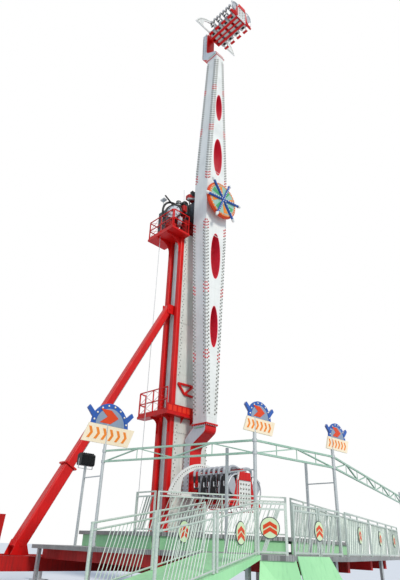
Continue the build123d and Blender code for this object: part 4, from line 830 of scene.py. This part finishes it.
# ---------------------------------------------------------------- gondolas
def make_arch_lamps():
    """Small lamp caps round both arches and along their base bars."""
    for prefix, axis_z in GONDOLAS:
        bm = bmesh.new()
        for (y, facing), index in product(((ARCH_FRONT_Y, -1), (ARCH_BACK_Y, 1)), range(40)):
            angle = math.radians(24 + 132 * index / 39)
            x = ARCH_RADIUS * math.cos(angle)
            # the leg covers the middle of the arch's back
            if facing < 0 or abs(x) > 0.55:
                add_cap(bm, (x, y, axis_z - ARCH_CENTRE_DROP + ARCH_RADIUS * math.sin(angle)),
                        (0, facing, 0), 0.62)
        z = axis_z - ARCH_BASE_DROP
        for side in SIDES:
            lamp_line(bm, (side * 1.75, ARCH_FRONT_Y, z), (side * 1.25, ARCH_FRONT_Y, z), FRONT, 0.12, 0.62)
        new_piece(f"{prefix}_arch_lamp_caps", bm, ["lens", "bezel"], f"{prefix}_gondola", True)


def seat_surface(u, v):
    """Point on a seat shell's inner face: u from pan lip to headrest, v across, both 0 to 1."""
    place = u * (len(SEAT_PROFILE) - 1)
    index = min(int(place), len(SEAT_PROFILE) - 2)
    x, z = Vector(SEAT_PROFILE[index]).lerp(Vector(SEAT_PROFILE[index + 1]), place - index)
    across = v - 0.5
    wing = abs(across * 2) ** 5
    on_back = min(1.0, max(0.0, (z + 0.45) * 4))
    return x + wing * 0.13 * on_back, across * 0.47, z + wing * 0.1 * (1 - on_back)


def make_seats():
    """Moulded bucket seat shells in place of the plain ones."""
    for prefix, axis_z in GONDOLAS:
        bm = bmesh.new()
        for side, y in product(SIDES, SEAT_YS):
            for vert in bmesh.ops.create_grid(bm, x_segments=16, y_segments=8, size=0.5)["verts"]:
                sx, sy, sz = seat_surface(vert.co.x + 0.5, vert.co.y + 0.5)
                vert.co = (side * sx, y + sy, axis_z + sz)
        normals_out(bm)
        obj = new_piece(f"{prefix}_seat_shells", bm, ["shell"], f"{prefix}_gondola", True)
        wall = obj.modifiers.new("wall", "SOLIDIFY")
        wall.thickness = 0.035
        wall.offset = 0
        subdivide(obj)
        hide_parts(f"{prefix}_seats")


def make_pads():
    """Crowned foam pads on the backrests."""
    for prefix, axis_z in GONDOLAS:
        bm = bmesh.new()
        for side, y in product(SIDES, SEAT_YS):
            pad = bmesh.new()
            bmesh.ops.create_cube(pad, size=1.0)
            bmesh.ops.subdivide_edges(pad, edges=pad.edges, cuts=5, use_grid_fill=True)
            for vert in pad.verts:
                px, py, pz = vert.co * 2
                crown = 1 - 0.55 * max(abs(py), abs(pz)) ** 4
                narrow = 1 - 0.12 * abs(px)
                sx = 0.222 - 0.03 * pz + (px * 0.5 + 0.5) * 0.062 * crown
                vert.co = (side * sx, y + py * 0.195 * narrow, axis_z + 0.01 + pz * 0.415 * narrow)
            join(bm, pad)
        normals_out(bm)
        obj = new_piece(f"{prefix}_foam_pads", bm, ["foam"], f"{prefix}_gondola", True)
        subdivide(obj)
        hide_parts(f"{prefix}_seat_pads")


def make_restraint_foams():
    """Foam sleeves and grips on the shoulder tubes, and the moulded covers over their bends."""
    for (prefix, axis_z), (side, word) in product(GONDOLAS, SIDE_WORDS):
        bm = bmesh.new()
        body = f"{prefix}_restraints_{word}"
        pivot_z = axis_z + PIVOT_RISE
        x = side * 0.66
        runs = []
        for y in SEAT_YS:
            for dy in (-TUBE_HALF_GAP, TUBE_HALF_GAP):
                add_tube(bm, (x, y + dy, pivot_z - 0.2), (x, y + dy, pivot_z - 0.5), 0.052, 14, 0, 0.045)
                wide = y + dy * 1.1
                runs.append([(side * 0.14, y + dy, pivot_z + 0.01), (side * 0.38, wide, pivot_z + 0.07),
                             (side * 0.6, wide, pivot_z + 0.03), (side * 0.68, y + dy, pivot_z - 0.08),
                             (side * 0.67, y + dy, pivot_z - 0.24)])
            add_tube(bm, (x, y - 0.1, pivot_z - 0.72), (x, y + 0.1, pivot_z - 0.72), 0.045, 14)
        bevel_sharp(bm)
        obj = new_piece(f"{prefix}_restraint_foam_{word}", bm, ["foam"], body, True)
        hose(f"{prefix}_restraint_covers_{word}", runs, 0.055, body, "shell")


def make_end_panels():
    """Lamps, red head box, shells, tubes and slotted wings of the gondolas' free ends."""
    front = GONDOLA_FRONT_Y
    for prefix, axis_z in GONDOLAS:
        body = f"{prefix}_gondola"
        floor = axis_z - 0.76
        red, shells, lamps = bmesh.new(), bmesh.new(), bmesh.new()
        add_slab(red, [(-0.36, axis_z + 0.2), (0.36, axis_z + 0.2), (0.3, axis_z + 0.51),
                       (-0.3, axis_z + 0.51)], (front, front - 0.035))
        for x in (-0.42, 0.36):
            add_block(red, (x, front - 0.025, axis_z - 0.77), (x + 0.06, front, axis_z + 0.2), 0, 0.015)
        for side, word in SIDE_WORDS:
            # raised ribs that leave the wings' slots between them
            for low, high, reach in ((0.0, 0.05, 0.99), (0.12, 0.16, 0.93), (0.24, 0.28, 0.7)):
                side_block(red, side, (0.43, reach), (front + 0.01, front + 0.06),
                           (floor + low, floor + high), 0, 0.008)
            add_slab(red, [(side * 0.44, floor + 0.3), (side * 0.62, floor + 0.22),
                           (side * 0.5, axis_z + 0.1), (side * 0.44, axis_z + 0.25)],
                     (front + 0.06, front + 0.03))
            add_slab(shells, [(side * x, axis_z + z) for x, z in SHELL_PROFILE], (front + 0.06, front + 0.02))
            hose(f"{prefix}_end_tube_{word}",
                 [[(side * 0.32, front + 0.04, axis_z + 0.4), (side * 0.62, front, axis_z + 0.42),
                   (side * 0.95, front, axis_z + 0.1), (side * 1.0, front + 0.02, axis_z - 0.3),
                   (side * 0.9, front + 0.05, axis_z - 0.62)]], 0.028, body, "silver")
        new_piece(f"{prefix}_end_head", red, ["red"], body)
        normals_out(shells)
        bevel_sharp(shells)
        new_piece(f"{prefix}_end_shells", shells, ["shell"], body)
        for row, column in product(range(5), range(4)):
            add_cap(lamps, (-0.24 + 0.16 * column, front, axis_z - 0.62 + 0.17 * row), FRONT, 0.9)
        new_piece(f"{prefix}_end_lamp_caps", lamps, ["lens", "bezel"], body, True)


def make_under_seats():
    """Grey floor pans, black plates under them as painted shade of their openings, footrests and their stays
    under each seat.
    """
    for prefix, axis_z in GONDOLAS:
        bm = bmesh.new()
        pan = axis_z - 0.7
        rest = axis_z - 0.885
        for side, y in product(SIDES, SEAT_YS):
            # half depth along the row and ranges of X and Z: outer pan on the long beam's side, black plate
            # under it as the painted shade of its opening, inner pan between beam and spine, footrest
            for half, xs, zs, index, edge in (
                    (0.24, (0.4105, 0.66), (pan - 0.03, pan), 0, 0.01),
                    # painted shade: a thin black plate just under the outer pan stands for the dark of its
                    # opening
                    (0.1, (0.47, 0.61), (pan - 0.038, pan - 0.03), 1, 0.003),
                    (0.19, (SPINE_HALF_WIDTH + 0.001, 0.249), (pan - 0.02, pan + 0.0095), 0, 0.004),
                    (0.17, (0.68, 0.86), (rest - 0.03, rest), 3, 0.01)):
                side_block(bm, side, xs, (y - half, y + half), zs, index, edge)
            for dy in (-0.12, 0.12):
                add_tube(bm, (side * 0.64, y + dy, pan - 0.02), (side * 0.76, y + dy, rest), 0.018, 8, 2)
        new_piece(f"{prefix}_footrests", bm, ["pan_grey", "black", "silver", "red"], f"{prefix}_gondola")


# ---------------------------------------------------------------- decks
def add_badge(bm, centre, along, out):
    """Round fence badge with two plain chevrons on its outer side."""
    add_tube(bm, centre + out * 0.03, centre + out * 0.04, 0.235, 32, 2)
    add_tube(bm, centre + out * 0.04, centre + out * 0.046, 0.215, 32, 0)
    for rise in (-0.12, 0.0):
        points = [(-0.16, rise - 0.04), (0, rise + 0.05), (0.16, rise - 0.04), (0.16, rise + 0.05),
                  (0, rise + 0.14), (-0.16, rise + 0.05)]
        ring = [bm.verts.new(centre + out * 0.05 + along * x + UP * height) for x, height in points]
        bm.faces.new(ring).material_index = 1


def make_fence_bars():
    """Finer slanted bars and posts between the frame's own, and round badges on the front panels."""
    bars, badges = bmesh.new(), bmesh.new()
    lean = math.tan(math.radians(22)) * 0.84
    for start, end, z, badge in FENCE_RUNS:
        a, b = Vector((*start, z)), Vector((*end, z))
        along = (b - a).normalized()
        length = (b - a).length
        # the runs that are seen almost edge on keep only one fine bar between two thick ones
        pitch = 0.26 if badge and length > 2.6 else 0.13
        for index in range(int((length - 0.2 - lean) / pitch)):
            low = a + along * (0.1 + index * pitch) + UP * 0.07
            add_tube(bars, low, low + along * lean + UP * 0.88, 0.008, 6)
        bays = max(1, round(length / 1.6))
        for bay in range(1, bays):
            add_post(bars, a.lerp(b, bay / bays), 1.08, 0.024, 10)
        if badge:
            add_badge(badges, a.lerp(b, 0.5) + UP * 0.56, along, Vector((along.y, -along.x, 0)))
    new_piece("fence_fine_bars", bars, ["pale_tube"], "tower")
    new_piece("fence_badges", badges, ["lime", "rust_orange", "machine"], "tower")


def make_ramp_fences():
    """Ramp fences with thin bars that lean up the slope, in place of the frame's plain ones."""
    bm, badges = bmesh.new(), bmesh.new()
    run = RAMP_END - RAMP_START
    unit = run.normalized()
    across = Vector((unit.y, -unit.x, 0))
    for side, (first, last) in product(SIDES, ((0.0, 0.49), (0.51, 1.0))):
        a, b = (RAMP_START + run * share + across * (side * RAMP_HALF_WIDTH)
                + UP * (DECK_Z - RAMP_DROP * share + RAMP_LIFT) for share in (first, last))
        for foot in (a + unit * 0.03, b - unit * 0.03):
            add_post(bm, foot, 1.1, 0.03)
        for height, radius in ((0.06, 0.018), (0.96, 0.018), (1.08, 0.02)):
            add_tube(bm, a + UP * height, b + UP * height, radius, 10)
        length = (b - a).length
        lean = (a - b).normalized() * 0.36
        for index in range(int((length - 0.5) / 0.12)):
            low = a.lerp(b, (0.46 + index * 0.12) / length) + UP * 0.06
            add_tube(bm, low, low + lean + UP * 0.9, 0.009, 6)
        if not first:
            add_badge(badges, a.lerp(b, 0.5) + UP * 0.56, -unit, -across)
    obj = new_piece("ramp_fence_panels", bm, ["pale_tube"], "tower")
    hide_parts("ramp_fences")
    new_piece("ramp_fence_badges", badges, ["lime", "rust_orange", "machine"], "tower")


def make_skirts():
    """Flared mint skirt under the front edge, and its return along the cut corner."""
    bm = bmesh.new()
    top = [Vector((-5.4, -10.19, 1.447)), Vector((-3.85, -10.02, 1.447))]
    low = [Vector((-5.38, -10.56, 0.062)), Vector((-2.86, -10.31, 0.062))]
    inward = Vector((-0.1, 0.995, 0)) * 0.024
    add_plate(bm, [top[0], top[1], low[1], low[0]], inward)
    # stiffening ribs on the panel's face
    for share in (0.02, 0.34, 0.66, 0.98):
        add_tube(bm, top[0].lerp(top[1], share) + inward * 0.3, low[0].lerp(low[1], share) + inward * 0.3,
                 0.012, 8)
    normals_out(bm)
    obj = new_piece("skirt_panel", bm, ["mint"], "tower")
    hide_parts("front_skirt")
    bm = bmesh.new()
    add_plate(bm, [(-6.12, -9.68, 1.36), (-5.5, -10.2, 1.36), (-5.4, -10.56, 0.07), (-6.7, -10.05, 0.07)],
              (0.017, 0.017, 0))
    add_tube(bm, (-5.49, -10.19, 1.36), (-5.39, -10.55, 0.07), 0.015, 8)
    normals_out(bm)
    new_piece("corner_skirt_panel", bm, ["mint"], "tower")


def sign_shapes(arc):
    """A sign board's plates in board units: outline, near and far distance, colour."""
    shapes = [([(-0.72, 0.0), (0.56, 0.0), (0.72, SIGN_SHOULDER), (-0.56, SIGN_SHOULDER)], 0.0, 0.02, 0)]
    for radius, near, far, index in ((0.52, 0.0, 0.02, 1), (0.4, 0.02, 0.026, 2)):
        shapes.append(([(radius * math.cos(a), SIGN_SHOULDER + radius * math.sin(a)) for a in arc],
                       near, far, index))
    shapes.append(([(-0.3, 0.46), (0.0, 0.46), (0.22, 0.62), (0.0, 0.78), (-0.3, 0.78), (-0.1, 0.62)],
                   0.026, 0.034, 3))
    chevron = ((0.0, 0.08), (0.07, 0.08), (0.16, 0.21), (0.11, 0.34), (0.04, 0.34), (0.09, 0.21))
    for index in range(6):
        shapes.append(([(-0.6 + index * 0.19 + x, z) for x, z in chevron], 0.02, 0.028, 4))
    for side in SIDES:
        shapes.append(([(side * 0.44, 0.5), (side * 0.66, 0.74), (side * 0.6, 0.82), (side * 0.38, 0.62)],
                       0.005, 0.03, 5))
    return shapes


def make_signs():
    """Shaped sign boards: a cream panel of orange chevrons under a half round in blue and grey."""
    bm, lamps = bmesh.new(), bmesh.new()
    base = SIGN_BASE_Z
    arc = [math.radians(180 * step / 16) for step in range(17)]
    for (mast_x, y), (size, shift) in zip(MASTS, ((1.3, 0.08), (0.87, 0.2), (0.85, 0.3))):
        x = mast_x + shift
        for (points, near, far, index), out in product(sign_shapes(arc), SIDES):
            add_slab(bm, [(x + px * size, base + pz * size) for px, pz in points],
                     (y + out * near, y + out * far), index)
        for a in arc[1:-1:2]:
            add_cap(lamps, (x + 0.46 * size * math.cos(a), y - 0.02,
                            base + (SIGN_SHOULDER + 0.46 * math.sin(a)) * size), FRONT, 0.6 * size)
        # clamp of the board on its mast
        add_post(bm, (mast_x, y, base - 0.06), 0.06 + 0.5 * size, 0.03, 12, 6)
    normals_out(bm)
    obj = new_piece("sign_faces", bm, ["cream", "blue", "slate", "rust_orange", "orange", "blue", "zinc"],
                    "tower")
    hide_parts("sign_boards")
    new_piece("sign_lamp_caps", lamps, ["pale_lens", "bezel"], "tower", True)


def make_mast_details():
    """Truss uprights, mast collars and foot bolts, and the floodlight's lens, fins and yoke."""
    bm = bmesh.new()
    for (x0, y0), (x1, y1) in zip(MASTS, MASTS[1:]):
        bays = max(4, 2 * round(math.hypot(x1 - x0, y1 - y0) / 2 / 1.4))
        for index in range(1, bays):
            share = index / bays
            add_post(bm, (x0 + (x1 - x0) * share, y0 + (y1 - y0) * share, TRUSS_LOW_Z),
                     TRUSS_HIGH_Z - TRUSS_LOW_Z, 0.013, 8)
    for x, y in MASTS:
        for z in (1.47, TRUSS_LOW_Z - 0.04, TRUSS_HIGH_Z - 0.04):
            add_post(bm, (x, y, z), 0.08, 0.062, 14, 1)
        for dx, dy in product((-0.07, 0.07), repeat=2):
            add_post(bm, (x + dx, y + dy, DECK_Z), 0.025, 0.014, 6, 1)
    new_piece("mast_fittings", bm, ["green_tube", "zinc"], "tower")
    bm = bmesh.new()
    x, y, z = FLOODLIGHT
    for index in range(7):
        left = x - 0.21 + index * 0.065
        add_block(bm, (left, y - 0.1, z + 0.335), (left + 0.015, y + 0.1, z + 0.37))
    add_block(bm, (x - 0.2, y + 0.128, z + 0.05), (x + 0.2, y + 0.142, z + 0.29), 1, 0.004)
    for index in range(6):
        low = z + 0.06 + index * 0.04
        add_block(bm, (x - 0.2, y - 0.142, low), (x + 0.2, y - 0.128, low + 0.02))
    for side in SIDES:
        side_block(bm, side, (0.242, 0.25), (y - 0.02, y + 0.02), (z - 0.08, z + 0.2), 2, 0.0, x)
    add_block(bm, (x - 0.25, y - 0.02, z - 0.09), (x + 0.25, y + 0.02, z - 0.08), 2)
    new_piece("floodlight_fittings", bm, ["black", "pale_lens", "zinc"], "tower")


# ---------------------------------------------------------------- stage
def make_floor():
    """Pale floor far past the part."""
    material, tree, _ = new_material("pale_floor")
    shader = add_node(tree, "ShaderNodeBsdfDiffuse", None, {"Color": hex_linear("E6E7E8")})
    add_node(tree, "ShaderNodeOutputMaterial", {"Surface": shader.outputs[0]})
    bm = bmesh.new()
    bmesh.ops.create_grid(bm, x_segments=1, y_segments=1, size=160)
    mesh = bpy.data.meshes.new("floor")
    bm.to_mesh(mesh)
    bm.free()
    mesh.materials.append(material)
    floor = bpy.data.objects.new("floor", mesh)
    bpy.context.scene.collection.objects.link(floor)


def make_light():
    """Soft sun, cool sky on the model and plain white behind it."""
    scene = bpy.context.scene
    world = bpy.data.worlds.new("studio")
    scene.world = world
    world.use_nodes = True
    tree = world.node_tree
    tree.nodes.clear()
    rays = add_node(tree, "ShaderNodeLightPath").outputs
    seen = combined(tree, "MAXIMUM", rays["Is Camera Ray"], rays["Is Glossy Ray"])
    seen = combined(tree, "MAXIMUM", seen, rays["Is Transmission Ray"])
    sky = add_node(tree, "ShaderNodeMix", {"Factor": seen}, {"A": SKY_COLOUR, "B": (1, 1, 1, 1)},
                   data_type="RGBA").outputs["Result"]
    back = add_node(tree, "ShaderNodeBackground",
                    {"Strength": ranged(tree, seen, SKY_STRENGTH, 1.0), "Color": sky})
    add_node(tree, "ShaderNodeOutputWorld", {"Surface": back.outputs[0]})
    sun_data = bpy.data.lights.new("key", "SUN")
    sun_data.energy = SUN_STRENGTH
    sun_data.color = SUN_COLOUR
    sun_data.angle = SUN_WIDTH
    sun = bpy.data.objects.new("key", sun_data)
    sun.rotation_euler = SUN_TURN
    scene.collection.objects.link(sun)


def make_camera():
    """Camera at the picture's place and angle."""
    data = bpy.data.cameras.new("camera")
    data.lens = FOCAL_PIXELS / PICTURE_HEIGHT * SENSOR_MM
    data.sensor_width = SENSOR_MM
    data.clip_end = 500
    camera = bpy.data.objects.new("camera", data)
    east, north = CAMERA_HEADING
    head, flat = Vector((east, north, 0)), Vector((north, -east, 0))
    forward = head * math.cos(CAMERA_TILT) + UP * math.sin(CAMERA_TILT)
    up_level = -head * math.sin(CAMERA_TILT) + UP * math.cos(CAMERA_TILT)
    right = flat * math.cos(CAMERA_ROLL) + up_level * math.sin(CAMERA_ROLL)
    up = up_level * math.cos(CAMERA_ROLL) - flat * math.sin(CAMERA_ROLL)
    rows = zip(right, up, -forward, CAMERA_PLACE)
    camera.matrix_world = Matrix((*rows, (0, 0, 0, 1)))
    bpy.context.scene.collection.objects.link(camera)
    bpy.context.scene.camera = camera


# ---------------------------------------------------------------- add-on
class RideSettings(bpy.types.PropertyGroup):
    """Sizes that a user may change."""
    lamp_pitch: bpy.props.FloatProperty(
        name="Lamp pitch", description="Distance between lamp caps on the arm", default=0.19, min=0.1,
        unit="LENGTH")


class RIDE_OT_materials(bpy.types.Operator):
    """Make the finishes and put them on the frame"""
    bl_idname = "ride.materials"
    bl_label = "Finishes"

    def execute(self, context):
        make_materials()
        paint_nodes()
        return {"FINISHED"}


class RIDE_OT_arm(bpy.types.Operator):
    """Lamps of the arm, plates and bolts of the legs, and the hub disc"""
    bl_idname = "ride.arm"
    bl_label = "Arm and legs"

    def execute(self, context):
        make_arm_lamps(context.scene.ride.lamp_pitch)
        make_arm_seams()
        make_leg_plates()
        make_flange_bands()
        make_hub_disc()
        return {"FINISHED"}


class RIDE_OT_tower(bpy.types.Operator):
    """Machinery at the tower head, the column's lamps and the walkways' wires"""
    bl_idname = "ride.tower"
    bl_label = "Tower"

    def execute(self, context):
        make_head_details()
        make_column_details()
        make_walkway_dressing()
        return {"FINISHED"}


class RIDE_OT_gondolas(bpy.types.Operator):
    """Seats, pads, restraint foams, arch lamps, end panels and footrests"""
    bl_idname = "ride.gondolas"
    bl_label = "Gondolas"

    def execute(self, context):
        make_seats()
        make_pads()
        make_restraint_foams()
        make_arch_lamps()
        make_end_panels()
        make_under_seats()
        return {"FINISHED"}


class RIDE_OT_decks(bpy.types.Operator):
    """Fence bars, badges, skirts, sign boards and mast fittings"""
    bl_idname = "ride.decks"
    bl_label = "Decks"

    def execute(self, context):
        make_fence_bars()
        make_ramp_fences()
        make_skirts()
        make_signs()
        make_mast_details()
        return {"FINISHED"}


class RIDE_OT_stage(bpy.types.Operator):
    """Floor, lights and camera"""
    bl_idname = "ride.stage"
    bl_label = "Stage"

    def execute(self, context):
        context.scene.view_settings.view_transform = "Standard"
        make_floor()
        make_light()
        make_camera()
        return {"FINISHED"}


class RIDE_PT_panel(bpy.types.Panel):
    """Lists the steps"""
    bl_label = "Ride"
    bl_idname = "RIDE_PT_panel"
    bl_space_type = "VIEW_3D"
    bl_region_type = "UI"
    bl_category = "Ride"

    def draw(self, context):
        self.layout.prop(context.scene.ride, "lamp_pitch")
        for step in STEPS:
            self.layout.operator(step.bl_idname)


STEPS = (RIDE_OT_stage, RIDE_OT_materials, RIDE_OT_arm, RIDE_OT_tower, RIDE_OT_gondolas, RIDE_OT_decks)
CLASSES = (RideSettings, *STEPS, RIDE_PT_panel)


def register():
    for cls in CLASSES:
        bpy.utils.register_class(cls)
    bpy.types.Scene.ride = bpy.props.PointerProperty(type=RideSettings)


def unregister():
    del bpy.types.Scene.ride
    for cls in reversed(CLASSES):
        bpy.utils.unregister_class(cls)


def main():
    """Register and run each step in order."""
    register()
    for step in (bpy.ops.ride.stage, bpy.ops.ride.materials, bpy.ops.ride.arm, bpy.ops.ride.tower,
                 bpy.ops.ride.gondolas, bpy.ops.ride.decks):
        step()


if __name__ == "__main__":
    main()
